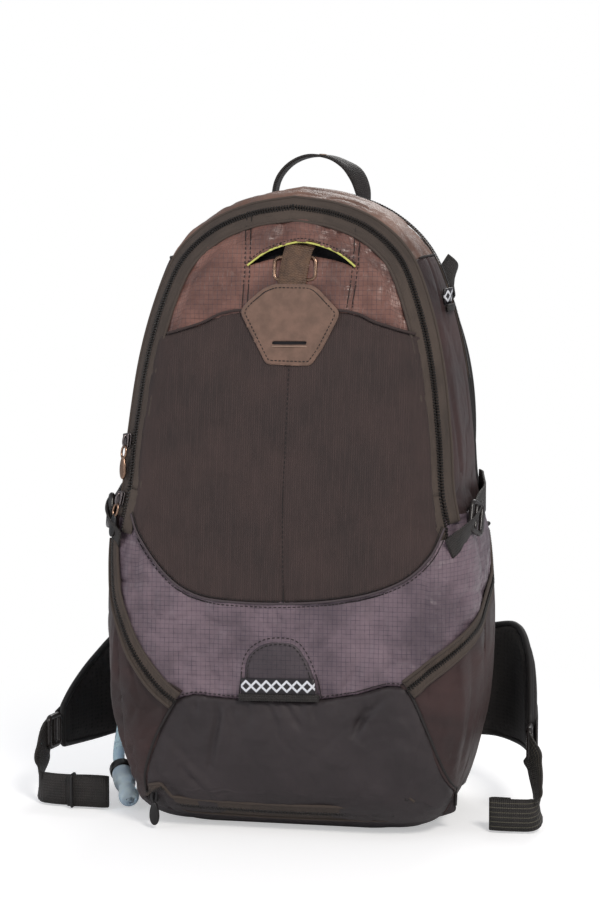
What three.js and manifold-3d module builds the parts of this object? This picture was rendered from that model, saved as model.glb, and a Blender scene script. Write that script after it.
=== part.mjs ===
// Ski backpack of the 18-litre class, in millimetres, +Z up. The front faces -Y, the wearer's
// side faces +Y, and the origin is the centre of the flat underside. Every fabric panel, pad,
// strap, zip and buckle is its own closed mesh.
import * as THREE from "three";
import { mergeVertices } from "three/addons/utils/BufferGeometryUtils.js";
import Module from "manifold-3d";

const wasm = await Module();
wasm.setup();

// ---- Driving dimensions ----------------------------------------------------------------

const gap = 0.3; // air between pieces that touch
const far = 400; // reach of the cutting blocks, well past the pack

const bodyHeight = 482; // underside to the top of the bag
const bodyHalfWidth = 144; // at the widest, over the side pockets' walls
const frontDepth = 98; // bulge of the front, from the middle plane
const backFace = 76; // middle plane to the flat back panel
const fabricWall = 3; // panel fabric with its foam
const flatHalfWidth = 62; // half of the flat part of the underside

const frontRound = 32; // how far in the front edge is rounded
const backRound = 20; // how far in the back edge is rounded
const frontEdgeLow = -48; // where the side wall meets the front rounding, low down
const frontEdgeHigh = -24; // the same at the top
const widestY = -5; // plane in which the bag is widest
const backEdge = 60; // where the side wall meets the back rounding
const footEdge = 72; // the same at the flat underside, so that the pack stands firmly
const footTop = 60; // height where the back edge has come forward to its usual place
const frontTuck = 3; // how much narrower the bag is at its front edge
const backTuck = 8; // how much narrower the bag is at its back edge

const flapHinge = 236; // height of the fold of the front flap
const flapCorner = 20; // height over which the flap's lower corners are cut in to fold freely
const zipInset = 18; // main zip, in from the outline
const zipTape = 4.2; // width of one half of a zip
const zipThick = 2; // zip coil and tape
const baseSeam = 21; // height of the seam round the base
const topSeam = bodyHeight - 52; // height of the seam under the top panel
const backSeam = backEdge + 2; // plane of the seam round the back panel

const rearZipY = 14; // plane of the second compartment's zip
const rearZipLeftEnd = 288; // where that zip ends on the left
const rearZipRightEnd = 337; // and on the right

const pocketTop = 222; // top hem of the side pockets
const pocketBottom = 26;
const pocketProud = 4; // how far the side pockets stand out
const pocketFront = -44;
const pocketBack = 50;

const webbingThick = 1.6;
const wideWebbing = 25;
const narrowWebbing = 20;

const patchHalfWidth = 37; // six-sided tool patch
const patchTop = bodyHeight - 75;
const patchBottom = bodyHeight - 134;
const patchThick = 1.8;
const meshSideTop = bodyHeight - 114; // where the mesh pocket meets the zip
const meshThick = 1.8;
const toolWebbingTop = bodyHeight - 46;
const ringHeight = bodyHeight - 63; // middle of the metal ring
const ringBar = 2.4; // thickness of the ring's bar
const ringOuterWidth = 31;
const ringOuterHeight = 17;

const tabHalfWidth = 27; // half-moon tab on the lower front
const tabBottom = 104;
const tabTop = 149;

const padThick = 10; // back pads
const strapPadThick = 11; // shoulder pads
const strapPadWidth = 58;
const strapTop = bodyHeight - 54; // height of the shoulder strap hinge
const strapPadBottom = 198;
const strapTuck = 0.7; // air between the back pads and the shoulder pads

const wingThick = 9;
const wingRootX = 106; // vertical hinge of the hip wings
const wingRootY = backFace + padThick + 2 * gap + wingThick / 2;

const hoseRadius = 4.7;
const hoseSides = 8;
const reservoirHeight = 300;
const reservoirHalfWidth = bodyHalfWidth - 60;
const sleeveWall = 1.5;
const sleeveHeight = 350;
const sleeveBottom = 38;
const sleeveDepth = 26;
const frameSheetThick = 2;
const frameSheetHalfWidth = bodyHalfWidth - 56;
const frameSheetTop = bodyHeight - 74;

const handleHalfWidth = 34;
const handleRise = 30;
const handleY = 50;

// ---- Solids and meshes -----------------------------------------------------------------

function toSolid(geometry) {
  const bare = geometry.clone();
  bare.deleteAttribute("normal");
  bare.deleteAttribute("uv");
  const merged = mergeVertices(bare, 1e-4);
  return new wasm.Manifold(new wasm.Mesh({
    numProp: 3,
    vertProperties: new Float32Array(merged.attributes.position.array),
    triVerts: new Uint32Array(merged.index.array),
  }));
}

function toGeometry(solid) {
  const mesh = solid.getMesh();
  const geometry = new THREE.BufferGeometry();
  const positions = new Float32Array((mesh.vertProperties.length / mesh.numProp) * 3);
  for (let i = 0; i < positions.length / 3; i += 1) {
    for (let k = 0; k < 3; k += 1) {
      positions[i * 3 + k] = mesh.vertProperties[i * mesh.numProp + k];
    }
  }
  geometry.setAttribute("position", new THREE.BufferAttribute(positions, 3));
  geometry.setIndex(Array.from(mesh.triVerts));
  geometry.computeVertexNormals();
  return geometry;
}

// A closed mesh through sections that have the same number of points, with flat ends.
function loft(sections) {
  const sides = sections[0].length;
  const positions = sections.flat().flatMap((point) => [point.x, point.y, point.z]);
  const faces = [];
  for (let i = 0; i + 1 < sections.length; i += 1) {
    for (let j = 0; j < sides; j += 1) {
      const a = i * sides + j;
      const b = i * sides + ((j + 1) % sides);
      faces.push(a, b, b + sides, a, b + sides, a + sides);
    }
  }
  const last = (sections.length - 1) * sides;
  for (let j = 1; j + 1 < sides; j += 1) {
    faces.push(0, j + 1, j, last, last + j, last + j + 1);
  }
  const geometry = new THREE.BufferGeometry();
  geometry.setAttribute("position", new THREE.Float32BufferAttribute(positions, 3));
  geometry.setIndex(signedVolume(positions, faces) < 0 ? faces.reverse() : faces);
  geometry.computeVertexNormals();
  return geometry;
}

function signedVolume(positions, faces) {
  const corner = (i) => new THREE.Vector3().fromArray(positions, i * 3);
  let sum = 0;
  for (let i = 0; i < faces.length; i += 3) {
    sum += corner(faces[i]).dot(corner(faces[i + 1]).cross(corner(faces[i + 2])));
  }
  return sum / 6;
}

function block(x0, x1, y0, y1, z0, z1) {
  const box = new THREE.BoxGeometry(x1 - x0, y1 - y0, z1 - z0);
  return box.translate((x0 + x1) / 2, (y0 + y1) / 2, (z0 + z1) / 2);
}

// A front-view outline, points (x, z), made solid from y0 back to y1.
function prism(points, y0, y1) {
  const shape = new THREE.Shape(points.map(([x, z]) => new THREE.Vector2(x, z)));
  const solid = new THREE.ExtrudeGeometry(shape, { depth: y1 - y0, bevelEnabled: false });
  return solid.rotateX(Math.PI / 2).translate(0, y1, 0);
}

// The outline of a band of changing width along a front-view path.
function bandOutline(path, width) {
  const left = [];
  const right = [];
  path.forEach(([x, z], i) => {
    const before = path[Math.max(i - 1, 0)];
    const after = path[Math.min(i + 1, path.length - 1)];
    const along = new THREE.Vector2(after[0] - before[0], after[1] - before[1]).normalize();
    const half = (typeof width === "function" ? width(i / (path.length - 1)) : width) / 2;
    left.push([x - along.y * half, z + along.x * half]);
    right.push([x + along.y * half, z - along.x * half]);
  });
  return left.concat(right.reverse());
}

function smoothPath(points, count) {
  const curve = new THREE.SplineCurve(points.map(([x, z]) => new THREE.Vector2(x, z)));
  return curve.getSpacedPoints(count).map((point) => [point.x, point.y]);
}

// Flat webbing along points; across(i) is the direction of its width.
function webbing(points, across, width, thickness) {
  const sections = points.map((point, i) => {
    const before = points[Math.max(i - 1, 0)];
    const after = points[Math.min(i + 1, points.length - 1)];
    const along = after.clone().sub(before).normalize();
    const side = across(i / (points.length - 1)).clone();
    side.addScaledVector(along, -side.dot(along)).normalize();
    const up = new THREE.Vector3().crossVectors(along, side);
    return [[-1, -1], [1, -1], [1, 1], [-1, 1]].map(([s, t]) => point.clone()
      .addScaledVector(side, (s * width) / 2)
      .addScaledVector(up, (t * thickness) / 2));
  });
  return loft(sections);
}

// An upright band that follows a plan path; each station is [x, y, low, high].
function uprightBand(stations, thickness) {
  const sections = stations.map(([x, y, low, high], i) => {
    const before = stations[Math.max(i - 1, 0)];
    const after = stations[Math.min(i + 1, stations.length - 1)];
    const along = new THREE.Vector2(after[0] - before[0], after[1] - before[1]).normalize();
    const dx = (-along.y * thickness) / 2;
    const dy = (along.x * thickness) / 2;
    return [
      new THREE.Vector3(x - dx, y - dy, low),
      new THREE.Vector3(x + dx, y + dy, low),
      new THREE.Vector3(x + dx, y + dy, high),
      new THREE.Vector3(x - dx, y - dy, high),
    ];
  });
  return loft(sections);
}

// A round tube through chosen points, one step every 2 to 3 diameters.
function tube(points, radius, steps) {
  const section = new THREE.Shape();
  section.absarc(0, 0, radius, 0, Math.PI * 2, false);
  const path = new THREE.CatmullRomCurve3(points.map((point) => new THREE.Vector3(...point)));
  return new THREE.ExtrudeGeometry(section, {
    steps, curveSegments: hoseSides, extrudePath: path, bevelEnabled: false,
  });
}

function mirrored(geometry) {
  const other = geometry.index ? geometry.toNonIndexed() : geometry.clone();
  const position = other.attributes.position;
  for (let i = 0; i < position.count; i += 3) {
    const corners = [0, 1, 2].map((k) => new THREE.Vector3().fromBufferAttribute(position, i + k));
    [0, 2, 1].forEach((from, k) => {
      position.setXYZ(i + k, -corners[from].x, corners[from].y, corners[from].z);
    });
  }
  other.computeVertexNormals();
  return other;
}

// Lays a shape made about the origin (x across, y out of the surface, z along) on a surface.
function laid(geometry, origin, across, out) {
  const along = new THREE.Vector3().crossVectors(across, out).normalize();
  const frame = new THREE.Matrix4().makeBasis(across, out, along).setPosition(origin);
  return geometry.clone().applyMatrix4(frame);
}

// ---- The bag's form --------------------------------------------------------------------

// Right half of the front outline, from the end of the flat underside to the top.
const halfOutline = [
  [flatHalfWidth / bodyHalfWidth, 0], [0.67, 0.007], [0.82, 0.03], [0.88, 0.07], [0.935, 0.13],
  [0.985, 0.21], [1, 0.3], [0.993, 0.41], [0.96, 0.485], [0.925, 0.54], [0.905, 0.62],
  [0.855, 0.735], [0.775, 0.83], [0.665, 0.905], [0.48, 0.958], [0.25, 0.988], [0, 1],
];

const outlineSteps = 24;

function scaledOutline() {
  return smoothPath(halfOutline.map(([x, z]) => [x * bodyHalfWidth, z * bodyHeight]), outlineSteps);
}

function wholeOutline() {
  const right = scaledOutline();
  const left = right.slice(0, -1).reverse().map(([x, z]) => [-x, z]);
  return right.concat(left);
}

// The outline moved in by inset along its normals. tuck draws in the sides and the top only, so
// that the underside stays flat.
function insetOutline(inset, tuck = 0) {
  const points = wholeOutline();
  const count = points.length;
  return points.map(([x, z], i) => {
    const before = points[(i + count - 1) % count];
    const after = points[(i + 1) % count];
    const along = new THREE.Vector2(after[0] - before[0], after[1] - before[1]).normalize();
    const normalX = i === 0 || i === count - 1 ? 0 : along.y;
    const normalZ = i === 0 || i === count - 1 ? -1 : -along.x;
    return [x - normalX * (inset + tuck), z - normalZ * inset - Math.max(normalZ, 0) * tuck];
  });
}

function interpolate(pairs, z) {
  if (z <= pairs[0][0]) {
    return pairs[0][1];
  }
  for (let i = 0; i + 1 < pairs.length; i += 1) {
    const [z0, v0] = pairs[i];
    const [z1, v1] = pairs[i + 1];
    if (z <= z1) {
      return v0 + ((v1 - v0) * (z - z0)) / (z1 - z0);
    }
  }
  return pairs[pairs.length - 1][1];
}

const frontShares = [
  [0, 0.74], [0.06, 0.9], [0.14, 0.97], [0.24, 1], [0.37, 0.985], [0.52, 0.91], [0.68, 0.79],
  [0.83, 0.675], [0.93, 0.575], [1, 0.47],
];

const frontY = (z) => -frontDepth * interpolate(frontShares, z / bodyHeight);
const frontEdgeY = (z) => interpolate([[flapHinge, frontEdgeLow], [bodyHeight, frontEdgeHigh]], z);
const backEdgeY = (z) => interpolate([[baseSeam, footEdge], [footTop, backEdge]], z);
const widthAt = (z) => interpolate(scaledOutline().map(([x, height]) => [height, x]), z);

const quarter = Math.PI / 2;

// The rings that the form is lofted through, front to back. share is how far the ring is drawn
// in to the middle of the front or back, as the shape closes.
function formRings(grow) {
  const frontTurn = (angle) => ({
    inset: frontRound * (1 - Math.cos(angle)),
    tuck: frontTuck,
    y: (z) => frontEdgeY(z) + (frontY(z) - frontEdgeY(z) - grow) * Math.sin(angle),
  });
  const backTurn = (angle) => ({
    inset: backRound * (1 - Math.cos(angle)),
    tuck: backTuck,
    y: (z) => backEdgeY(z) + (backFace - backEdgeY(z) + grow) * Math.sin(angle),
  });
  return [
    { ...frontTurn(quarter), share: 0.5 },
    frontTurn(quarter),
    frontTurn(quarter * 0.66),
    frontTurn(quarter * 0.33),
    frontTurn(0),
    { inset: 0, y: () => widestY },
    backTurn(0),
    backTurn(quarter * 0.5),
    backTurn(quarter),
  ];
}

const formMiddle = bodyHeight * 0.45;

function form(grow) {
  const sections = formRings(grow).map(({ inset, tuck = 0, y, share = 0 }) => (
    insetOutline(inset - grow, tuck).map(([x, z]) => {
      const height = z + (formMiddle - z) * share;
      return new THREE.Vector3(x * (1 - share), y(height), height);
    })));
  const sides = sections[0].length;
  const positions = sections.flat().flatMap((point) => [point.x, point.y, point.z]);
  positions.push(0, frontY(formMiddle) - grow, formMiddle, 0, backFace + grow, formMiddle);
  const frontCentre = sections.length * sides;
  const last = (sections.length - 1) * sides;
  const faces = [];
  for (let j = 0; j < sides; j += 1) {
    const next = (j + 1) % sides;
    faces.push(frontCentre, j, next, frontCentre + 1, last + next, last + j);
    for (let i = 0; i + 1 < sections.length; i += 1) {
      const a = i * sides + j;
      const b = i * sides + next;
      faces.push(a, a + sides, b + sides, a, b + sides, b);
    }
  }
  const geometry = new THREE.BufferGeometry();
  geometry.setAttribute("position", new THREE.Float32BufferAttribute(positions, 3));
  geometry.setIndex(signedVolume(positions, faces) < 0 ? faces.reverse() : faces);
  return toSolid(geometry);
}

const layers = new Map();

// The skin between two distances out from the bag's surface.
function layer(inner, outer) {
  const key = `${inner}:${outer}`;
  if (!layers.has(key)) {
    layers.set(key, form(outer).subtract(form(inner)));
  }
  return layers.get(key);
}

// A point on the right-hand wall or roundings: turn -1 is the front face, 0 to 1 the side wall
// from front to back, 2 the back face. out is the distance off the surface.
function skin(z, turn, out) {
  const width = widthAt(z);
  if (turn < 0) {
    const angle = -turn * quarter;
    const x = width - frontTuck - frontRound * (1 - Math.cos(angle)) + out * Math.cos(angle);
    const depth = frontEdgeY(z) - frontY(z) + out;
    return new THREE.Vector3(x, frontEdgeY(z) - depth * Math.sin(angle), z);
  }
  if (turn > 1) {
    const angle = (turn - 1) * quarter;
    const x = width - backTuck - backRound * (1 - Math.cos(angle)) + out * Math.cos(angle);
    const depth = backFace - backEdgeY(z) + out;
    return new THREE.Vector3(x, backEdgeY(z) + depth * Math.sin(angle), z);
  }
  const y = frontEdgeY(z) + (backEdgeY(z) - frontEdgeY(z)) * turn;
  const tuck = y < widestY
    ? (frontTuck * (widestY - y)) / (widestY - frontEdgeY(z))
    : (backTuck * (y - widestY)) / (backEdgeY(z) - widestY);
  return new THREE.Vector3(width - tuck + out, y, z);
}

const flip = (point) => new THREE.Vector3(-point.x, point.y, point.z);

// ---- Materials -------------------------------------------------------------------------

function finish(color, roughness, metalness = 0) {
  return new THREE.MeshStandardMaterial({ color, roughness, metalness });
}

const ripstop = finish(0x6a5048, 0.55);
const ripstopLow = finish(0x5c5056, 0.6);
const meshFabric = finish(0x332a29, 0.9);
const plainFabric = finish(0x3f3838, 0.8);
const sideFabric = finish(0x4a3d3d, 0.6);
const suede = finish(0x77645a, 0.95);
const strapWebbing = finish(0x231e1c, 0.75);
const padMesh = finish(0x26211f, 0.9);
const plastic = finish(0x17151a, 0.4);
const zipCoil = finish(0x1d1a1b, 0.5);
const bronze = finish(0x8a6a4a, 0.3, 1);
const reflective = finish(0xd9dde0, 0.5);
const clearBlue = finish(0x8fc3e6, 0.2);
const filmBlue = finish(0xbcd3e0, 0.25);
const stiffSheet = finish(0x1a1a1a, 0.6);

const pack = new THREE.Group();

function add(name, geometry, material) {
  const mesh = new THREE.Mesh(geometry, material.clone());
  mesh.name = name;
  pack.add(mesh);
}

const cutTo = (solid, ...regions) => regions.reduce((rest, region) => rest.intersect(region), solid);
const within = (x0, x1, y0, y1, z0, z1) => toSolid(block(x0, x1, y0, y1, z0, z1));
const above = (z) => within(-far, far, -far, far, z, 2 * far);
const below = (z) => within(-far, far, -far, far, -far, z);

// ---- Panels of the bag -----------------------------------------------------------------

const shell = layer(-fabricWall, 0);
const frontField = (inset) => toSolid(prism(insetOutline(inset), -far, widestY));

const flapSpace = () => {
  const half = widthAt(flapHinge + flapCorner) - zipInset - 1;
  return within(-half, half, -far, far, flapHinge + gap, 2 * far);
};

function buildPanels() {
  const front = frontField(zipInset);
  const rim = shell.subtract(frontField(zipInset - gap));
  const walls = cutTo(rim, within(-far, far, -far, backSeam, -far, 2 * far));
  const side = cutTo(walls, above(baseSeam + gap), below(topSeam - gap),
    within(gap / 2, far, -far, far, -far, 2 * far));
  add("front_flap", toGeometry(cutTo(shell, front, flapSpace())), ripstop);
  add("lower_front_panel", toGeometry(cutTo(shell, front, below(flapHinge))), ripstopLow);
  add("side_panel_right", toGeometry(side), sideFabric);
  add("side_panel_left", mirrored(toGeometry(side)), sideFabric);
  add("base_panel", toGeometry(cutTo(walls, below(baseSeam))), plainFabric);
  add("top_panel", toGeometry(cutTo(walls, above(topSeam))), ripstop);
  const behind = within(-far, far, backSeam + gap, far, -far, 2 * far);
  add("back_panel", toGeometry(cutTo(shell, behind)), plainFabric);
}

function buildSidePockets() {
  const field = within(0, far, pocketFront, pocketBack, pocketBottom, pocketTop);
  const pocket = toGeometry(cutTo(layer(gap, pocketProud), field));
  add("side_pocket_right", pocket, sideFabric);
  add("side_pocket_left", mirrored(pocket), sideFabric);
}

// ---- Zips ------------------------------------------------------------------------------

const zipLayer = () => layer(gap, gap + zipThick);

function buildMainZip() {
  const bagSide = frontField(zipInset - gap - zipTape).subtract(frontField(zipInset - gap));
  const flapSide = frontField(zipInset + gap).subtract(frontField(zipInset + gap + zipTape));
  add("main_zip_bag_side", toGeometry(cutTo(zipLayer(), bagSide, above(flapHinge + gap))), zipCoil);
  add("main_zip_flap_side", toGeometry(cutTo(zipLayer(), flapSide, flapSpace())), zipCoil);
}

function buildRearZip() {
  const band = within(-far, far, rearZipY - zipTape, rearZipY + zipTape, 0, 2 * far);
  const leftPart = within(-far, 0, -far, far, rearZipLeftEnd, 2 * far);
  const rightPart = within(0, far, -far, far, rearZipRightEnd, 2 * far);
  add("rear_zip", toGeometry(cutTo(zipLayer(), band, leftPart.add(rightPart))), zipCoil);
}

// The slanting pocket zip on the right of the lower front, from the side seam down and in.
function buildLowerZips() {
  const start = [bodyHalfWidth - 8, pocketTop - 8];
  const end = [80, 112];
  const middle = [(start[0] + end[0]) / 2, (start[1] + end[1]) / 2 - 9];
  const field = prism(bandOutline(smoothPath([start, middle, end], 6), 2 * zipTape), -far, -30);
  const inFront = within(-far, far, -far, pocketFront - gap, 0, 2 * far);
  const zip = toGeometry(cutTo(zipLayer(), toSolid(field), inFront));
  add("lower_zip_right", zip, zipCoil);
  add("lower_zip_left", mirrored(zip), zipCoil);
}

const bottomZipLow = 14;
const bottomZipHalfLength = 106;

function buildBottomZip() {
  const band = within(-bottomZipHalfLength, bottomZipHalfLength, -far, frontEdgeLow - 4,
    bottomZipLow, bottomZipLow + 2 * zipTape);
  add("bottom_zip", toGeometry(cutTo(zipLayer(), band)), zipCoil);
}

const sliderWidth = 9;
const sliderLength = 12;
const sliderThick = 4;
const pullWidth = 8;
const pullLength = 24;
const pullThick = 2.2;
const sliderLift = gap + zipThick + 0.5; // bag surface to the underside of a slider

function sliderBody() {
  const nose = new THREE.Shape();
  nose.moveTo(-sliderWidth / 2, sliderLength / 2);
  nose.lineTo(-sliderWidth / 3, -sliderLength / 2);
  nose.lineTo(sliderWidth / 3, -sliderLength / 2);
  nose.lineTo(sliderWidth / 2, sliderLength / 2);
  const solid = new THREE.ExtrudeGeometry(nose, { depth: sliderThick, bevelEnabled: false });
  return solid.rotateX(quarter).translate(0, sliderThick, 0);
}

function pullTab(length = pullLength) {
  const drop = new THREE.Shape();
  drop.moveTo(-pullWidth / 4, 0);
  drop.lineTo(pullWidth / 4, 0);
  drop.lineTo(pullWidth / 2, -length + pullWidth / 2);
  drop.absarc(0, -length + pullWidth / 2, pullWidth / 2, 0, -Math.PI, true);
  const solid = new THREE.ExtrudeGeometry(drop, {
    depth: pullThick, bevelEnabled: false, curveSegments: 8,
  });
  return solid.rotateX(quarter).translate(0, pullThick, -sliderLength / 2 - gap);
}

const zipTurn = -0.53; // place of the main sliders on the front rounding
const mainSliderHeights = [292, 250];

// The two sliders of the main zip, on its straight left-hand stretch, each with its pull.
function buildMainSliders() {
  mainSliderHeights.forEach((height, i) => {
    const low = flip(skin(height - 8, zipTurn, sliderLift));
    const high = flip(skin(height + 8, zipTurn, sliderLift));
    const along = high.clone().sub(low).normalize();
    const out = new THREE.Vector3(-0.7, -0.71, 0);
    out.addScaledVector(along, -out.dot(along)).normalize();
    const across = new THREE.Vector3().crossVectors(out, along).normalize();
    const middle = low.add(high).multiplyScalar(0.5);
    const letter = "ab"[i];
    add(`main_slider_${letter}`, laid(sliderBody(), middle, across, out), plastic);
    add(`main_pull_${letter}`, laid(pullTab(), middle, across, out), plastic);
  });
}

function buildRearSlider() {
  const place = flip(skin(rearZipLeftEnd + 9, 0.5, sliderLift));
  place.y = rearZipY;
  place.x += 0.6;
  const out = new THREE.Vector3(-1, 0, 0.06).normalize();
  const across = new THREE.Vector3(0, 1, 0);
  const body = toSolid(laid(sliderBody(), place, across, out));
  const loop = laid(pullTab().translate(0, 0, gap), place, across, out);
  add("rear_slider", toGeometry(body.add(toSolid(loop))), plastic);
}

const bottomSliderX = -98;
const bottomPullLength = 18;

function buildBottomSlider() {
  const z = bottomZipLow + zipTape + 8.5;
  const place = new THREE.Vector3(bottomSliderX, frontEdgeLow - 34.5, z);
  const out = new THREE.Vector3(-0.35, -0.94, 0).normalize();
  const across = new THREE.Vector3(-0.94, 0.35, 0).normalize();
  const clear = form(gap + zipThick + gap);
  const body = toSolid(laid(sliderBody(), place, across, out)).subtract(clear);
  const tab = toSolid(laid(pullTab(bottomPullLength), place, across, out));
  add("bottom_slider", toGeometry(body), plastic);
  add("bottom_pull", toGeometry(tab.subtract(clear)), plastic);
}

// ---- Pieces on the front flap ----------------------------------------------------------

function buildMeshPocket() {
  const halfWidth = widthAt(meshSideTop) - 6;
  const shape = [
    [-halfWidth, flapHinge + gap], [halfWidth, flapHinge + gap], [halfWidth, meshSideTop - 8],
    [patchHalfWidth, patchBottom + 26], [-patchHalfWidth, patchBottom + 26],
    [-halfWidth, meshSideTop - 8],
  ];
  const field = toSolid(prism(shape, -far, widestY));
  const inner = frontField(zipInset + 2 * gap + zipTape);
  add("mesh_pocket", toGeometry(cutTo(layer(gap, gap + meshThick), field, inner, flapSpace())),
    meshFabric);
}

const patchInner = gap + meshThick + gap;

function buildToolPatch() {
  const corner = patchHalfWidth * 0.66;
  const waist = (patchTop + patchBottom) / 2 - 2;
  const shape = [
    [-corner, patchBottom], [corner, patchBottom], [patchHalfWidth, waist],
    [corner, patchTop], [-corner, patchTop], [-patchHalfWidth, waist],
  ];
  const field = toSolid(prism(shape, -far, widestY));
  add("tool_patch", toGeometry(cutTo(layer(patchInner, patchInner + patchThick), field)), suede);
}

const ringInner = gap + 0.4;

function buildToolLoop() {
  const half = wideWebbing / 2;
  const under = ringInner + ringBar + 0.6;
  const strip = within(-half, half, -far, widestY, patchTop + gap, toolWebbingTop);
  const loop = cutTo(layer(under, under + webbingThick), strip);
  const anchor = within(-half, half, -far, widestY, toolWebbingTop - 3, toolWebbingTop);
  const foot = cutTo(layer(gap, under + webbingThick), anchor);
  add("tool_webbing", toGeometry(loop.add(foot)), strapWebbing);
  const outer = within(-ringOuterWidth / 2, ringOuterWidth / 2, -far, widestY,
    ringHeight - ringOuterHeight / 2, ringHeight + ringOuterHeight / 2);
  const inner = within(ringBar - ringOuterWidth / 2, ringOuterWidth / 2 - ringBar, -far, widestY,
    ringHeight - ringOuterHeight / 2 + ringBar, ringHeight + ringOuterHeight / 2 - ringBar);
  const bar = cutTo(layer(ringInner, ringInner + ringBar), outer.subtract(inner));
  add("tool_ring", toGeometry(bar), bronze);
}

function buildLowerTab() {
  const shape = new THREE.Shape();
  const shoulder = tabTop - tabHalfWidth;
  shape.moveTo(-tabHalfWidth - 4, tabBottom);
  shape.lineTo(tabHalfWidth + 4, tabBottom);
  shape.lineTo(tabHalfWidth, shoulder);
  shape.absarc(0, shoulder, tabHalfWidth, 0, Math.PI, false);
  const field = new THREE.ExtrudeGeometry(shape, { depth: far, bevelEnabled: false, curveSegments: 10 });
  field.rotateX(quarter);
  add("lower_tab", toGeometry(cutTo(layer(gap, gap + 1.6), toSolid(field))), ripstopLow);
}

// ---- Straps on the sides and top -------------------------------------------------------

const lockThick = 5;
const compressionFrontTurn = -0.42;
const compressionLockTurn = 0.12;
const compressionHeights = { front: 228, lock: 240, back: 254 };

// A ladder lock about the origin: a plate with a slot at each end and a bar between them.
function ladderLock(width, height, thickness) {
  const half = width / 2;
  const frame = toSolid(block(-half, half, 0, thickness, -height / 2, height / 2));
  const slotWide = half - 3;
  const slot = height / 2 - 6;
  const upper = toSolid(block(-slotWide, slotWide, -1, thickness + 1, 2, 2 + slot));
  const lower = toSolid(block(-slotWide, slotWide, -1, thickness + 1, -2 - slot, -2));
  return toGeometry(frame.subtract(upper).subtract(lower));
}

function buildCompression() {
  const { front, lock, back } = compressionHeights;
  const up = new THREE.Vector3(0, 0, 1);
  const lift = pocketProud - 1.5;
  const count = 8;
  const points = [];
  for (let i = 0; i <= count; i += 1) {
    const share = i / count;
    const turn = compressionLockTurn + 0.09 + (0.96 - compressionLockTurn - 0.09) * share;
    points.push(skin(lock + 2 + (back - lock - 2) * share, turn, lift));
  }
  const rear = toSolid(webbing(points, () => up, narrowWebbing, webbingThick));
  const strap = toGeometry(rear.subtract(form(gap)));
  add("compression_webbing_right", strap, strapWebbing);
  add("compression_webbing_left", mirrored(strap), strapWebbing);
  const place = skin((front + lock) / 2 + 3, compressionFrontTurn * 0.3, pocketProud - 1.2);
  const out = new THREE.Vector3(0.94, -0.34, 0).normalize();
  const across = new THREE.Vector3(0.12, 0.34, 0.93);
  across.addScaledVector(out, -across.dot(out)).normalize();
  const buckle = laid(ladderLock(26, 22, lockThick), place, across, out);
  add("compression_lock_right", buckle, plastic);
  add("compression_lock_left", mirrored(buckle), plastic);
}

function buildSideLoop() {
  const place = skin(398, 0.16, 1.4);
  const out = new THREE.Vector3(0.97, -0.1, 0.22).normalize();
  const across = new THREE.Vector3(0.1, 0.99, 0);
  across.addScaledVector(out, -across.dot(out)).normalize();
  const loop = toSolid(laid(block(-6, 6, 0, 2.4, -9, 9), place, across, out));
  add("side_loop_right", toGeometry(loop.subtract(form(gap))), reflective);
}

const handleFoot = bodyHeight - 14;
const handleSwing = (40 * Math.PI) / 180;

// The loop's feet are trimmed to a ridge, so that it folds either way over the top panel.
function buildHandle() {
  const half = handleHalfWidth;
  const crown = bodyHeight - 2 + handleRise;
  const path = smoothPath([
    [-half, handleFoot - 8], [-half, handleFoot + 10], [-half * 0.8, crown - 10],
    [-half * 0.4, crown - 2], [0, crown], [half * 0.4, crown - 2], [half * 0.8, crown - 10],
    [half, handleFoot + 10], [half, handleFoot - 8],
  ], 16).map(([x, z]) => new THREE.Vector3(x, handleY, z));
  const turn = (geometry, angle) => geometry.clone().translate(0, -handleY, -handleFoot)
    .rotateX(angle).translate(0, handleY, handleFoot);
  const clear = form(gap);
  let loop = webbing(path, () => new THREE.Vector3(0, 1, 0), 18, webbingThick + 0.6);
  for (const share of [0, 0.5, 1, -0.5, -1]) {
    const folded = toSolid(turn(loop, share * handleSwing)).subtract(clear);
    loop = turn(toGeometry(folded), -share * handleSwing);
  }
  add("grab_handle", loop, strapWebbing);
}

// ---- The wearer's side -----------------------------------------------------------------

const padFace = backFace + gap;

function roundedPad(outline, y0, thickness, bevel) {
  const shape = new THREE.Shape(outline.map(([x, z]) => new THREE.Vector2(x, z)));
  const solid = new THREE.ExtrudeGeometry(shape, {
    depth: thickness - 2 * bevel, bevelEnabled: true, bevelSize: bevel, bevelOffset: -bevel,
    bevelThickness: bevel, bevelSegments: 1,
  });
  return solid.rotateX(quarter).translate(0, y0 + thickness - bevel, 0);
}

function buildBackPads() {
  const top = bodyHeight - 78;
  const outline = [
    [14, 138], [70, 138], [78, 150], [80, 260], [72, top - 24], [58, top], [22, top], [14, top - 12],
  ];
  const pad = roundedPad(outline, padFace, padThick, 3);
  add("back_pad_right", pad, padMesh);
  add("back_pad_left", mirrored(pad), padMesh);
  const lumbarHalf = wingRootX + 6;
  const lumbar = [
    [-92, 40], [92, 40], [lumbarHalf, 52], [lumbarHalf, 118], [88, 130], [-88, 130],
    [-lumbarHalf, 118], [-lumbarHalf, 52],
  ];
  add("lumbar_pad", roundedPad(lumbar, padFace, padThick, 3), padMesh);
}

const strapFace = padFace + padThick + strapTuck;

function strapCentre() {
  return smoothPath([
    [46, strapTop + 6], [54, strapTop - 12], [75, strapTop - 42], [90, strapTop - 86],
    [96, strapTop - 136],
    [94, strapPadBottom + 32], [90, strapPadBottom],
  ], 12);
}

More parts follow.
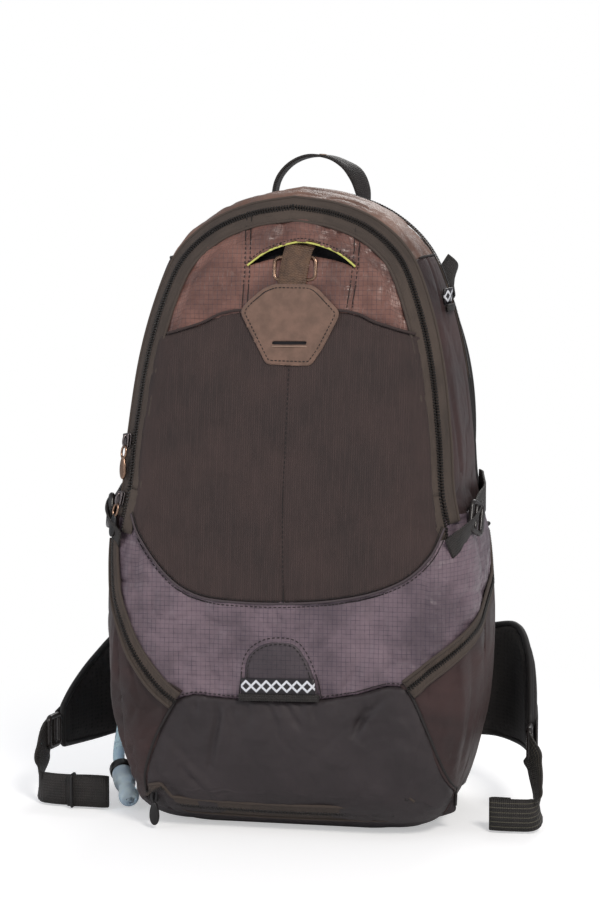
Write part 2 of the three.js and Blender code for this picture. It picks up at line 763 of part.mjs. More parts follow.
function buildShoulderStraps() {
  const outline = bandOutline(strapCentre(), (share) => strapPadWidth - 14 * share * share);
  const pad = roundedPad(outline, strapFace, strapPadThick, 3);
  add("shoulder_pad_right", pad, padMesh);
  add("shoulder_pad_left", mirrored(pad), padMesh);
  const lockLength = 26;
  const lockTop = strapPadBottom - 3.6;
  const lock = ladderLock(28, lockLength, lockThick);
  const place = new THREE.Vector3(90, strapFace + 3, lockTop - lockLength / 2);
  const buckle = laid(lock, place, new THREE.Vector3(-1, 0, 0), new THREE.Vector3(0, 1, 0));
  add("strap_lock_right", buckle, plastic);
  add("strap_lock_left", mirrored(buckle), plastic);
  const lowEnd = new THREE.Vector3(104, padFace + 1.2, 137);
  const highEnd = new THREE.Vector3(90, strapFace + 4, lockTop - lockLength - 5);
  const points = [0, 0.33, 0.66, 1].map((share) => lowEnd.clone().lerp(highEnd, share));
  const tail = webbing(points, () => new THREE.Vector3(1, 0, 0), narrowWebbing, webbingThick);
  const clear = toSolid(tail).subtract(form(gap));
  add("lower_strap_right", toGeometry(clear), strapWebbing);
  add("lower_strap_left", mirrored(toGeometry(clear)), strapWebbing);
}

// Load lifters run from the bag's upper back corner to the top of each shoulder pad.
function buildLoadLifters() {
  const height = strapTop - 22;
  const start = skin(height + 8, 1.35, 1.2);
  const end = new THREE.Vector3(92, strapFace + 1, height - 4);
  const middle = start.clone().lerp(end, 0.5).add(new THREE.Vector3(4, 1, 2));
  const points = [start, middle, end];
  const strip = webbing(points, () => new THREE.Vector3(0, 0, 1), narrowWebbing, webbingThick);
  const outline = bandOutline(strapCentre(), (share) => strapPadWidth - 14 * share * share + 2 * gap);
  const padSpace = toSolid(prism(outline, strapFace - gap, far));
  const clear = toSolid(strip).subtract(form(gap)).subtract(padSpace);
  add("load_lifter_right", toGeometry(clear), strapWebbing);
  add("load_lifter_left", mirrored(toGeometry(clear)), strapWebbing);
}

const sternumHeight = strapTop - 96;
const sternumDrop = 62;

// Each half of the unfastened sternum strap hangs down the face of its shoulder pad.
function buildSternumStraps() {
  const y = strapFace + strapPadThick + gap;
  const slider = toSolid(block(72, 106, y, y + 4, sternumHeight - 6, sternumHeight + 6));
  const tail = toSolid(block(81, 97, y + 1, y + 3, sternumHeight - sternumDrop, sternumHeight));
  const prong = toSolid(block(79, 99, y, y + 7,
    sternumHeight - sternumDrop - 24, sternumHeight - sternumDrop));
  const half = toGeometry(slider.add(tail).add(prong));
  add("sternum_strap_right", half, strapWebbing);
  add("sternum_strap_left", mirrored(half), strapWebbing);
}

// ---- Hip belt --------------------------------------------------------------------------

// Plan stations [x, y, low, high] of each wing, from its hinge out and forward.
const leftWing = [
  [-wingRootX, wingRootY, 44, 128], [-140, wingRootY, 44, 134], [-168, 82, 38, 126],
  [-188, 62, 34, 104], [-199, 38, 34, 84], [-203, 16, 36, 68],
];
const rightWing = [
  [wingRootX, wingRootY, 44, 128], [138, wingRootY, 44, 136], [159, 74, 42, 138],
  [170, 46, 42, 120], [174, 18, 44, 92], [175, 2, 46, 76],
];

const hipLock = { width: 28, length: 24 };
const floorLift = 1.5; // air under the webbing that hangs to the ground

// The ladder lock past the end of a wing, standing in the wing's own plane. Returns the middle
// of its free end.
function addHipLock(name, stations) {
  const [x0, y0] = stations[stations.length - 2];
  const [x1, y1, low, high] = stations[stations.length - 1];
  const along = new THREE.Vector3(x1 - x0, y1 - y0, 0).normalize();
  const up = new THREE.Vector3(0, 0, 1);
  const out = new THREE.Vector3().crossVectors(along, up);
  const end = new THREE.Vector3(x1, y1, (low + high) / 2);
  const place = end.clone().addScaledVector(along, hipLock.length / 2 + gap)
    .addScaledVector(out, -lockThick / 2);
  add(name, laid(ladderLock(hipLock.width, hipLock.length, lockThick), place, up, out), plastic);
  return end.addScaledVector(along, hipLock.length + 3 * gap);
}

function buildHipBelt() {
  add("hip_wing_left", uprightBand(leftWing, wingThick), padMesh);
  add("hip_wing_right", uprightBand(rightWing, wingThick), padMesh);
  const leftEnd = addHipLock("hip_lock_left", leftWing);
  const rightEnd = addHipLock("hip_lock_right", rightWing);
  const low = floorLift;
  const high = floorLift + wideWebbing;
  const drop = (end, lift) => [end.z - wideWebbing / 2 - lift, end.z + wideWebbing / 2 - lift];
  add("hip_webbing_left", uprightBand([
    [leftEnd.x, leftEnd.y, ...drop(leftEnd, 2)], [leftEnd.x - 2, leftEnd.y - 9, low + 8, high + 8],
    [leftEnd.x + 2, leftEnd.y - 18, low, high], [leftEnd.x + 22, leftEnd.y - 24, low, high],
    [leftEnd.x + 56, leftEnd.y - 24, low, high],
  ], webbingThick), strapWebbing);
  add("hip_webbing_right", uprightBand([
    [rightEnd.x, rightEnd.y, ...drop(rightEnd, 2)],
    [rightEnd.x + 6, rightEnd.y - 8, low + 10, high + 10],
    [rightEnd.x + 9, rightEnd.y - 16, low + 2, high + 2],
    [rightEnd.x, rightEnd.y - 24, low, high], [rightEnd.x - 27, rightEnd.y - 24, low, high],
  ], webbingThick), strapWebbing);
}

// ---- Inside: frame sheet, drinking reservoir and hose ----------------------------------

function buildInside() {
  const innerBack = backFace - fabricWall - gap;
  const sheetFront = innerBack - frameSheetThick;
  const half = frameSheetHalfWidth;
  const sheet = [
    [-half + 16, 34], [half - 16, 34], [half, 50], [half, frameSheetTop - 46],
    [half - 22, frameSheetTop], [22 - half, frameSheetTop], [-half, frameSheetTop - 46], [-half, 50],
  ];
  add("frame_sheet", prism(sheet, sheetFront, innerBack), stiffSheet);
  const sleeveBack = sheetFront - gap;
  const sleeveFront = sleeveBack - sleeveDepth;
  const sleeveHalf = reservoirHalfWidth + 2;
  const outer = toSolid(block(-sleeveHalf, sleeveHalf, sleeveFront, sleeveBack,
    sleeveBottom, sleeveBottom + sleeveHeight));
  const inner = toSolid(block(sleeveWall - sleeveHalf, sleeveHalf - sleeveWall,
    sleeveFront + sleeveWall, far, sleeveBottom + sleeveWall, 2 * far));
  const connector = [26 - reservoirHalfWidth, sleeveBottom + 44];
  const port = new THREE.CylinderGeometry(11, 11, 20, 12).translate(connector[0], sleeveFront, connector[1]);
  add("reservoir_sleeve", toGeometry(outer.subtract(inner).subtract(toSolid(port))), sideFabric);
  const bladderBottom = sleeveBottom + sleeveWall + gap;
  const bladderHalf = reservoirHalfWidth - sleeveWall - gap;
  const bladderTop = bladderBottom + reservoirHeight;
  const bladder = roundedPad([
    [20 - bladderHalf, bladderBottom], [bladderHalf - 20, bladderBottom],
    [bladderHalf, bladderBottom + 24], [bladderHalf, bladderTop - 10], [bladderHalf - 8, bladderTop],
    [8 - bladderHalf, bladderTop], [-bladderHalf, bladderTop - 10], [-bladderHalf, bladderBottom + 24],
  ], sleeveFront + sleeveWall + gap, sleeveDepth - sleeveWall - 2 * gap, 6);
  const nozzle = new THREE.CylinderGeometry(7, 8, 16, 12)
    .translate(connector[0], sleeveFront + 2, connector[1]);
  add("reservoir", toGeometry(toSolid(bladder).add(toSolid(nozzle))), filmBlue);
  const barMiddle = sleeveBack - sleeveDepth / 2;
  add("reservoir_closure", block(-bladderHalf, bladderHalf, barMiddle - 5, barMiddle + 5,
    bladderTop + gap, bladderTop + gap + 12), clearBlue);
  const hoseY = sleeveFront - 6 - hoseRadius - gap;
  const top = bodyHeight - 78;
  add("hose_inside", tube([
    [connector[0], hoseY, connector[1] - 8], [connector[0] - 2, hoseY, connector[1] + 30],
    [18 - reservoirHalfWidth, hoseY, 180], [14 - reservoirHalfWidth, hoseY, 290],
    [8 - reservoirHalfWidth, hoseY + 1, top - 40], [-reservoirHalfWidth, hoseY + 6, top - 6],
  ], hoseRadius, 20), clearBlue);
}

// The drinking hose hangs from its hooded port down the left back corner to the bite valve.
const hoseRoute = [
  [-113, 79.5, 360], [-113, 79.5, 352], [-115, 80, 336], [-117.5, 80.3, 320], [-120, 80.5, 305],
  [-122.6, 80.8, 286], [-125, 81, 268], [-131, 81, 232], [-138, 80, 200], [-145, 77, 170],
  [-151, 71, 142], [-155, 63, 116], [-156, 54.5, 95], [-156.3, 46, 76], [-156, 36, 59],
  [-155.6, 26, 46.5], [-154.6, 16, 37], [-152.6, 7.5, 31], [-149.5, 0, 27],
];

function buildHose() {
  const [x, y, z] = hoseRoute[0];
  const hood = toSolid(block(x - 9, x + 9, y - 12, y + 7, z + 2 * gap, z + 26)).subtract(form(gap));
  add("hose_port", toGeometry(hood), plastic);
  add("hose", tube(hoseRoute, hoseRadius, 30), clearBlue);
  const end = new THREE.Vector3(...hoseRoute[hoseRoute.length - 1]);
  const tip = new THREE.Vector3(-131, -37, 7.6);
  const along = tip.clone().sub(end);
  const length = along.length() - gap;
  along.normalize();
  const profile = [
    [0, 0], [6.5, 0], [6.5, 5], [8.5, 7], [8.5, length * 0.5], [6.5, length * 0.68],
    [8, length * 0.8], [6.5, length], [0, length],
  ].map(([radius, height]) => new THREE.Vector2(radius, height));
  const valve = new THREE.LatheGeometry(profile, 16);
  const turn = new THREE.Quaternion().setFromUnitVectors(new THREE.Vector3(0, 1, 0), along);
  valve.applyQuaternion(turn);
  const place = end.clone().addScaledVector(along, gap + 0.5);
  add("bite_valve", valve.translate(place.x, place.y, place.z), clearBlue);
}

buildPanels();
buildSidePockets();
buildMainZip();
buildRearZip();
buildLowerZips();
buildBottomZip();
buildMainSliders();
buildRearSlider();
buildBottomSlider();
buildMeshPocket();
buildToolPatch();
buildToolLoop();
buildLowerTab();
buildCompression();
buildSideLoop();
buildHandle();
buildBackPads();
buildShoulderStraps();
buildLoadLifters();
buildSternumStraps();
buildHipBelt();
buildInside();
buildHose();

export default pack;
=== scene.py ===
"""Ski backpack: the finished looks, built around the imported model. Metres, +Z up, front at -Y."""
import math

import bmesh
import bpy
import numpy as np
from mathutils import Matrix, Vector
from mathutils.geometry import delaunay_2d_cdt


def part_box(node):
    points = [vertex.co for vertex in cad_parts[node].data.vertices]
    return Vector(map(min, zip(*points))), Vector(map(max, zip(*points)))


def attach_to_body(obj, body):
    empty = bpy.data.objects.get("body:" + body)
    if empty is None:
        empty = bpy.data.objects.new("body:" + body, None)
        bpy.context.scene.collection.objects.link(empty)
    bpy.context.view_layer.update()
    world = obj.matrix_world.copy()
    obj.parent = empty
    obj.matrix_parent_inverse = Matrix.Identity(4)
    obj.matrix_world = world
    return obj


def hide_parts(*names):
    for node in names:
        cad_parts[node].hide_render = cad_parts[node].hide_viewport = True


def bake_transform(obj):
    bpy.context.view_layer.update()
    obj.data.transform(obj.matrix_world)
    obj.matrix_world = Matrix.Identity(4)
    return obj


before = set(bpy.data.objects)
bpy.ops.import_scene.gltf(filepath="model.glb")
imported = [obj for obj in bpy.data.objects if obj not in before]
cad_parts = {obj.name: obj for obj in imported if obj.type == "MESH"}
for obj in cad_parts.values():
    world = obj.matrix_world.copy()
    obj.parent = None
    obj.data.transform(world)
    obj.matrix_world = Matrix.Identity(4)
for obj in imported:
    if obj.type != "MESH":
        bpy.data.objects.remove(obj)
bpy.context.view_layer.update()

MM = 0.001
QUARTER = math.pi / 2
X_AXIS, Y_AXIS, Z_AXIS = np.eye(3)
SIDES = ((1, "right"), (-1, "left"))

# ---- Sizes of the bag, from the frame ----------------------------------------------------

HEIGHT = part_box("top_panel")[1].z
HALF_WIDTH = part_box("side_panel_right")[1].x
DEPTH = -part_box("lower_front_panel")[0].y
BACK_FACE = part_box("back_panel")[1].y
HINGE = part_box("front_flap")[0].z
PAD_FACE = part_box("lumbar_pad")[1].y

FRONT_ROUND = 0.032
BACK_ROUND = 0.020
EDGE_LOW = -0.048
EDGE_HIGH = -0.024
WIDEST = -0.005
BACK_EDGE = 0.060
FOOT_EDGE = 0.072
FRONT_TUCK = 0.003
BACK_TUCK = 0.008
ZIP_INSET = 0.018
FLAP_HALF = 0.115
REAR_ZIP_Y = (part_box("rear_zip")[0].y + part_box("rear_zip")[1].y) / 2

HALF_OUTLINE = [
    (0.4306, 0), (0.67, 0.007), (0.82, 0.03), (0.88, 0.07), (0.935, 0.13), (0.985, 0.21),
    (1, 0.3), (0.993, 0.41), (0.96, 0.485), (0.925, 0.54), (0.905, 0.62), (0.855, 0.735),
    (0.775, 0.83), (0.665, 0.905), (0.48, 0.958), (0.25, 0.988), (0, 1),
]
FRONT_SHARES = [
    (0, 0.74), (0.06, 0.9), (0.14, 0.97), (0.24, 1), (0.37, 0.985), (0.52, 0.91), (0.68, 0.79),
    (0.83, 0.675), (0.93, 0.575), (1, 0.47),
]


# ---- Small numeric helpers ---------------------------------------------------------------

def unit(vectors):
    return vectors / np.maximum(np.linalg.norm(vectors, axis=-1, keepdims=True), 1e-12)


def smoothstep(low, high, values):
    share = np.clip((np.asarray(values, float) - low) / (high - low), 0, 1)
    return share * share * (3 - 2 * share)


def catmull(points, per_span=12):
    """A smooth line through the points, in any number of dimensions."""
    points = np.array(points, float)
    line = []
    for i in range(len(points) - 1):
        p0, p1 = points[max(i - 1, 0)], points[i]
        p2, p3 = points[i + 1], points[min(i + 2, len(points) - 1)]
        for k in range(per_span):
            t = k / per_span
            a, b = (p2 - p0) / 2, (p3 - p1) / 2
            line.append((2 * p1 - 2 * p2 + a + b) * t ** 3
                        + (3 * p2 - 3 * p1 - 2 * a - b) * t ** 2 + a * t + p1)
    line.append(points[-1])
    return np.array(line)


def distances(line):
    """How far along a line each of its points lies."""
    return np.concatenate([[0], np.cumsum(np.linalg.norm(np.diff(line, axis=0), axis=1))])


def resample(points, spacing):
    """The same line with points an even distance apart."""
    points = np.array(points, float)
    along = distances(points)
    count = max(int(round(along[-1] / spacing)), 2)
    wanted = np.linspace(0, along[-1], count + 1)
    return np.stack([np.interp(wanted, along, points[:, k]) for k in range(points.shape[1])], 1)


def smooth_line(points, spacing):
    return resample(catmull(points), spacing)


def closed(loop):
    return np.concatenate([loop, loop[:1]])


def even_loop(loop, spacing):
    """A closed loop with points an even distance apart, the first not repeated."""
    return resample(closed(loop), spacing)[:-1]


def in_mm(points):
    return np.array(points, float) * MM


def noise(points, scale, seed):
    """Smooth value noise from -1 to 1 at 2-D or 3-D points; scale may differ by axis."""
    p = np.asarray(points, float)
    if p.shape[1] == 2:
        p = np.concatenate([p, np.zeros((len(p), 1))], 1)
    scale = np.broadcast_to(np.append(np.atleast_1d(scale), [1])[:3] if np.size(scale) == 2
                            else scale, (3,))
    p = p / scale + 97.3 + seed * 13.7
    cell = np.floor(p).astype(np.int64)
    f = p - cell
    f = f * f * f * (f * (f * 6 - 15) + 10)
    total = 0
    for corner in range(8):
        d = np.array([corner & 1, corner >> 1 & 1, corner >> 2])
        c = cell + d
        h = c[:, 0] * 374761393 + c[:, 1] * 668265263 + c[:, 2] * 1442695041 + seed * 974711
        h = (h ^ (h >> 13)) * 1274126177
        h = (h ^ (h >> 16)) & 0xFFFF
        weight = np.prod(np.where(d == 1, f, 1 - f), axis=1)
        total = total + weight * (h / 32767.5 - 1)
    return total


def creases(points, scale, seed, sharp=3):
    """Soft cloth between narrow valleys: 0 on the swells, -1 in the deepest valleys."""
    warp = np.stack([noise(points, np.asarray(scale) * 1.7, seed + 5),
                     noise(points, np.asarray(scale) * 1.7, seed + 6)], 1)
    moved = np.asarray(points, float)[:, :2] + warp * np.asarray(scale) * 0.5
    ridge = 1 - np.abs(noise(moved, scale, seed))
    return -np.clip(ridge, 0, 1) ** (2 * sharp)


def distance_to(points, line, closed=False):
    """Distance of 2-D points to a polyline, and the share of the way along it."""
    line = np.asarray(line, float)
    a = line
    b = np.roll(line, -1, axis=0)
    if not closed:
        a, b = a[:-1], b[:-1]
    edge = b - a
    square = np.maximum((edge ** 2).sum(1), 1e-18)
    best = np.full(len(points), 1e9)
    share = np.zeros(len(points))
    for start in range(0, len(points), 4000):
        p = points[start:start + 4000]
        t = ((p[:, None] - a) * edge).sum(2) / square
        t = np.clip(t, 0, 1)
        gap = np.linalg.norm(p[:, None] - (a + edge * t[..., None]), axis=2)
        nearest = gap.argmin(1)
        rows = np.arange(len(p))
        best[start:start + 4000] = gap[rows, nearest]
        share[start:start + 4000] = (nearest + t[rows, nearest]) / len(a)
    return best, share


def inside(points, polygon):
    """Whether 2-D points are inside a closed polygon."""
    polygon = np.asarray(polygon, float)
    result = np.zeros(len(points), bool)
    nxt = np.roll(polygon, -1, axis=0)
    for (x0, z0), (x1, z1) in zip(polygon, nxt):
        if z0 == z1:
            continue
        crosses = (z0 > points[:, 1]) != (z1 > points[:, 1])
        at = (x1 - x0) * (points[:, 1] - z0) / (z1 - z0) + x0
        result ^= crosses & (points[:, 0] < at)
    return result


def strokes(points, folds):
    """Listed folds: each is (line in mm, width in mm, height in mm; a valley is negative)."""
    total = np.zeros(len(points))
    for line, width, height in folds:
        away, share = distance_to(points, smooth_line(in_mm(line), 0.003))
        taper = np.sin(np.pi * np.clip(share * 0.96 + 0.02, 0, 1)) ** 0.6
        total += height * MM * taper * np.exp(-(away / (width * MM)) ** 2)
    return total


# ---- The bag's form ----------------------------------------------------------------------

def _half_loop():
    spline = catmull([(x * HALF_WIDTH, z * HEIGHT) for x, z in HALF_OUTLINE], 24)
    flat = np.stack([np.linspace(0, spline[0][0], 30)[:-1], np.zeros(29)], 1)
    return resample(np.concatenate([flat, spline]), 0.002)


_right = _half_loop()
_loop = np.concatenate([_right, _right[-2::-1] * [-1, 1]])
_loop_s = distances(_loop)
_tangent = unit(np.gradient(_loop, axis=0))
_normal = np.stack([_tangent[:, 1], -_tangent[:, 0]], 1)
_normal[0] = _normal[-1] = (0, -1)
_normal[len(_right) - 1] = (0, 1)
FRONT_ARC = 0.062
WALL_ARC = 0.108
BACK_ARC = 0.030

_z_table = np.linspace(-0.03, HEIGHT + 0.03, 600)
_share_table = np.interp(_z_table / HEIGHT, *zip(*FRONT_SHARES))
_kernel = np.exp(-np.linspace(-2, 2, 25) ** 2)
_share_table = np.convolve(np.pad(_share_table, 12, "edge"), _kernel / _kernel.sum(), "valid")


def front_y(z):
    return -DEPTH * np.interp(z, _z_table, _share_table)


def front_edge(z):
    share = np.clip((np.asarray(z) - HINGE) / (HEIGHT - HINGE), 0, 1)
    return EDGE_LOW + (EDGE_HIGH - EDGE_LOW) * share


def back_edge(z):
    return np.interp(z, [0.021, 0.060], [FOOT_EDGE, BACK_EDGE])


def loop_at(s):
    """Outline point and outward normal at a distance along the loop from its bottom middle."""
    s = np.mod(s, _loop_s[-1])
    point = np.stack([np.interp(s, _loop_s, _loop[:, k]) for k in (0, 1)], 1)
    normal = unit(np.stack([np.interp(s, _loop_s, _normal[:, k]) for k in (0, 1)], 1))
    return point, normal


def side_s(z, side=1):
    """Distance along the loop of the right (1) or left (-1) side at a height."""
    s = np.interp(z, _right[:, 1][29:], _loop_s[:len(_right)][29:])
    return s if side > 0 else _loop_s[-1] - s


def q_of_inset(inset):
    """The across coordinate of a place on the front rounding, by how far in it lies."""
    rounded = np.clip((np.asarray(inset, float) - FRONT_TUCK) / FRONT_ROUND, 0, 1)
    flat = np.maximum(np.asarray(inset, float) - FRONT_TUCK - FRONT_ROUND, 0)
    return -np.arccos(1 - rounded) / QUARTER * FRONT_ARC - flat


def q_of_y(y, z):
    """The across coordinate of a place on the side wall, by its depth."""
    edge = front_edge(z)
    return (np.asarray(y, float) - edge) / (BACK_EDGE - edge) * WALL_ARC


def skin(s, q, out=0.0):
    """A point on the bag and its outward normal. q runs from the front face (negative), over the
    front edge at 0, across the wall to WALL_ARC, and round the back edge."""
    s, q, out = (a.ravel() for a in np.broadcast_arrays(
        np.asarray(s, float), np.asarray(q, float), np.asarray(out, float)))
    point, normal = loop_at(s)
    front_angle = np.clip(-q / FRONT_ARC, 0, 1) * QUARTER
    back_angle = np.clip((q - WALL_ARC) / BACK_ARC, 0, 1) * QUARTER
    flat = np.maximum(-q - FRONT_ARC, 0)
    back_flat = np.maximum(q - WALL_ARC - BACK_ARC, 0)
    inset = FRONT_ROUND * (1 - np.cos(front_angle)) + flat
    inset = inset + BACK_ROUND * (1 - np.cos(back_angle)) + back_flat
    turn = np.clip(q / WALL_ARC, 0, 1)
    edge, rear = front_edge(point[:, 1]), back_edge(point[:, 1])
    wall_y = edge + (rear - edge) * turn
    tuck = np.where(wall_y < WIDEST, FRONT_TUCK * (WIDEST - wall_y) / (WIDEST - edge),
                    BACK_TUCK * (wall_y - WIDEST) / (rear - WIDEST))
    x = point[:, 0] - normal[:, 0] * (inset + tuck)
    z = point[:, 1] - normal[:, 1] * inset - np.maximum(normal[:, 1], 0) * tuck
    edge, rear = front_edge(z), back_edge(z)
    wall_y = edge + (rear - edge) * turn
    y = wall_y + (front_y(z) - edge) * np.sin(front_angle)
    y = y + (BACK_FACE - rear) * np.sin(back_angle)
    lean = np.cos(front_angle) * np.cos(back_angle)
    facing = unit(np.stack([normal[:, 0] * lean, np.sin(back_angle) - np.sin(front_angle),
                            normal[:, 1] * lean], 1))
    return np.stack([x, y, z], 1) + facing * out[:, None], facing


def field_y(points):
    """Depth of the front face over front-view points (x, z)."""
    away, _ = distance_to(points, _loop[::2], closed=True)
    away = np.where(inside(points, _loop[::2]), away, 0)
    share = np.clip((away - FRONT_TUCK) / FRONT_ROUND, 0.0004, 1)
    rise = np.sqrt(1 - (1 - share) ** 2)
    edge = front_edge(points[:, 1])
    return edge + (front_y(points[:, 1]) - edge) * rise


def field(points, out=0.0):
    """3-D points and outward normals of the front face over front-view points."""
    points = np.asarray(points, float)
    step = 0.0006
    y = field_y(points)
    dx = (field_y(points + [step, 0]) - field_y(points - [step, 0])) / (2 * step)
    dz = (field_y(points + [0, step]) - field_y(points - [0, step])) / (2 * step)
    normal = unit(np.stack([dx, -np.ones(len(points)), dz], 1))
    place = np.stack([points[:, 0], y, points[:, 1]], 1)
    return place + normal * np.reshape(out, (-1, 1)), normal


def half_width(z):
    return np.interp(z, _right[29:, 1], _right[29:, 0])


FLAT_IN = FRONT_ROUND + FRONT_TUCK


def spread_out(points):
    """Front-view points (x, z) as points of the cloth spread flat, where x goes on round the
    front edge and over the side wall."""
    points = np.asarray(points, float)
    inset = half_width(points[:, 1]) - np.abs(points[:, 0])
    wide = half_width(points[:, 1]) - FLAT_IN + FRONT_ARC + q_of_inset(inset)
    return np.stack([np.sign(points[:, 0]) * wide, points[:, 1]], 1)


def spread_q(points):
    return np.abs(points[:, 0]) - half_width(points[:, 1]) + FLAT_IN - FRONT_ARC


def spread(points, out=0.0):
    """3-D points and outward normals over points of the cloth spread flat."""
    points = np.asarray(points, float)
    out = np.broadcast_to(out, len(points))
    q = spread_q(points)
    front, front_normal = field(points, out)
    s = side_s(points[:, 1])
    s = np.where(points[:, 0] < 0, _loop_s[-1] - s, s)
    turned, turned_normal = skin(s, q, out)
    share = smoothstep(-FRONT_ARC - 6 * MM, -FRONT_ARC + 2 * MM, q)[:, None]
    share[q > -FRONT_ARC + 2 * MM] = 1
    normal = unit(front_normal + (turned_normal - front_normal) * share)
    return front + (turned - front) * share, normal


def unrolled(points):
    """Front-view points spread out round the front edge, for an even weave."""
    away, _ = distance_to(points, _loop[::4], closed=True)
    step = 0.001
    right, _ = distance_to(points + [step, 0], _loop[::4], closed=True)
    upper, _ = distance_to(points + [0, step], _loop[::4], closed=True)
    outward = -np.stack([right - away, upper - away], 1) / step
    extra = FRONT_ARC * np.arccos(np.clip((away - FRONT_TUCK) / FRONT_ROUND, 0, 1)) / QUARTER
    missing = np.clip(FRONT_ROUND + FRONT_TUCK - away, 0, None)
    return points + outward * (extra - missing)[:, None] * 0.7


# ---- Materials ---------------------------------------------------------------------------

def linear(*rgb):
    def one(c):
        c = c / 255
        return c / 12.92 if c <= 0.04045 else ((c + 0.055) / 1.055) ** 2.4
    return tuple(one(c) for c in rgb) + (1.0,)


def shade(colour, factor, lift=0.0):
    return tuple(min(c * factor + lift, 1) for c in colour[:3]) + (1,)


class Shader:
    """A small helper for building a procedural material."""

    def __init__(self, name, **sockets):
        self.material = bpy.data.materials.new(name)
        self.material.use_nodes = True
        self.tree = self.material.node_tree
        self.surface = self.tree.nodes["Principled BSDF"]
        for key, value in sockets.items():
            self.surface.inputs[key.replace("_", " ")].default_value = value

    def node(self, kind, *ins, out=0, **props):
        made = self.tree.nodes.new(kind)
        for key, value in props.items():
            setattr(made, key, value)
        for place, value in ins:
            if isinstance(value, bpy.types.NodeSocket):
                self.tree.links.new(value, made.inputs[place])
            else:
                made.inputs[place].default_value = value
        return made.outputs[out]

    def math(self, operation, a, b=0.0):
        return self.node("ShaderNodeMath", (0, a), (1, b), operation=operation)

    def coords(self, kind="UV"):
        return self.node("ShaderNodeTexCoord", out=kind)

    def split(self, vector):
        made = self.tree.nodes.new("ShaderNodeSeparateXYZ")
        self.tree.links.new(vector, made.inputs[0])
        return made.outputs

    def noise(self, vector, scale, detail=3.0, roughness=0.5, stretch=None):
        if stretch:
            vector = self.node("ShaderNodeMapping", (0, vector), (3, stretch))
        return self.node("ShaderNodeTexNoise", ("Vector", vector), ("Scale", scale),
                         ("Detail", detail), ("Roughness", roughness))

    def ramp(self, value, low, high, to_low=0.0, to_high=1.0):
        return self.node("ShaderNodeMapRange", (0, value), (1, low), (2, high), (3, to_low),
                         (4, to_high), interpolation_type="SMOOTHSTEP")

    def mix(self, share, a, b):
        return self.node("ShaderNodeMix", (0, share), (6, a), (7, b), out=2, data_type="RGBA")

    def bump(self, height, strength, distance, after=None):
        ins = [("Strength", strength), ("Distance", distance), ("Height", height)]
        if after is not None:
            ins.append(("Normal", after))
        return self.node("ShaderNodeBump", *ins)

    def folds(self, vector):
        """Thin branching ridges, as where coated cloth has been crushed; they shape the crinkle
        bumps and mask the painted crease shade.
        """
        return self.node("ShaderNodeTexNoise", ("Vector", vector), ("Scale", 60), ("Detail", 3),
                         ("Roughness", 0.5), ("Distortion", 0.4), noise_type="RIDGED_MULTIFRACTAL")

    def crinkle(self, vector, strength):
        """Sharp small creases of thin coated cloth, at two sizes."""
        wide = self.folds(vector)
        small = self.node("ShaderNodeTexNoise", ("Vector", vector), ("Scale", 150), ("Detail", 1.5),
                          noise_type="RIDGED_MULTIFRACTAL")
        return self.bump(small, strength * 0.4, 0.0009, self.bump(wide, strength, 0.0022))

    def set(self, socket, value):
        self.tree.links.new(value, self.surface.inputs[socket])

    def lines(self, value, period, width):
        """1 on thin lines a period apart, 0 between."""
        wave = self.math("PINGPONG", self.math("MULTIPLY", value, 2 / period), 1.0)
        return self.ramp(wave, 1 - 2 * width / period, 1.0)

    def ribs(self, value, period):
        return self.math("SINE", self.math("MULTIPLY", value, 2 * math.pi / period))


def ripstop(name, base, dark, line, roughness):
    """Thin nylon with a woven grid, its colour shifting a little between warm and cool, with
    painted shade along its creases.
    """
    m = Shader(name, Roughness=roughness, Sheen_Weight=0.03, Sheen_Roughness=0.4,
               Specular_IOR_Level=0.42)
    uv = m.coords()
    u, v, _ = m.split(uv)
    grid = m.math("MAXIMUM", *(m.lines(axis, 3.4 * MM, 0.28 * MM) for axis in (u, v)))
    broad = m.noise(uv, 22, 4, 0.6)
    patchy = m.noise(uv, 160, 2)
    thread = m.noise(uv, 2400, 1)
    colour = m.mix(m.ramp(broad, 0.32, 0.68), dark, base)
    # painted shade: deep darkens the cloth along the crease ridges of the crinkle bump
    deep = shade(dark, 0.55)
    colour = m.mix(m.ramp(m.folds(uv), 0.5, 1.3, 0.0, 0.8), colour, deep)
    colour = m.mix(m.math("MULTIPLY", grid, m.ramp(patchy, 0.3, 0.7, 0.35, 0.95)), colour, line)
    m.set("Base Color", colour)
    m.set("Roughness", m.ramp(patchy, 0.2, 0.8, roughness - 0.1, roughness + 0.1))
    fine = m.bump(thread, 0.25, 0.0002, m.crinkle(uv, 0.95))
    m.set("Normal", m.bump(grid, 0.5, 0.00025, fine))
    return m.material


def plain(name, base, dark, roughness, streak=None):
    """Plain woven nylon with painted shade along its creases; streak stretches its tone along the
    pull of the cloth.
    """
    m = Shader(name, Roughness=roughness, Sheen_Weight=0.03, Sheen_Roughness=0.45,
               Specular_IOR_Level=0.34)
    uv = m.coords()
    u, v, _ = m.split(uv)
    tone = m.noise(uv, 16, 4, 0.6, streak)
    # painted shade: deep darkens the cloth along the crease ridges of the crinkle bump
    deep = shade(dark, 0.55)
    threads = m.math("MULTIPLY", m.ribs(u, 0.9 * MM), m.ribs(v, 0.9 * MM))
    fine = m.noise(uv, 900, 2)
    colour = m.mix(m.ramp(tone, 0.3, 0.7), dark, base)
    colour = m.mix(m.ramp(m.folds(uv), 0.5, 1.3, 0.0, 0.7), colour, deep)
    darker = shade(dark, 0.72)
    colour = m.mix(m.ramp(m.math("ADD", threads, fine), 0.6, 1.6, 0.0, 0.4), colour, darker)
    m.set("Base Color", colour)
    m.set("Roughness", m.ramp(tone, 0.2, 0.8, roughness - 0.07, roughness + 0.09))
    crinkled = m.crinkle(uv, 0.7)
    m.set("Normal", m.bump(threads, 0.25, 0.0002, m.bump(fine, 0.3, 0.0003, crinkled)))
    return m.material


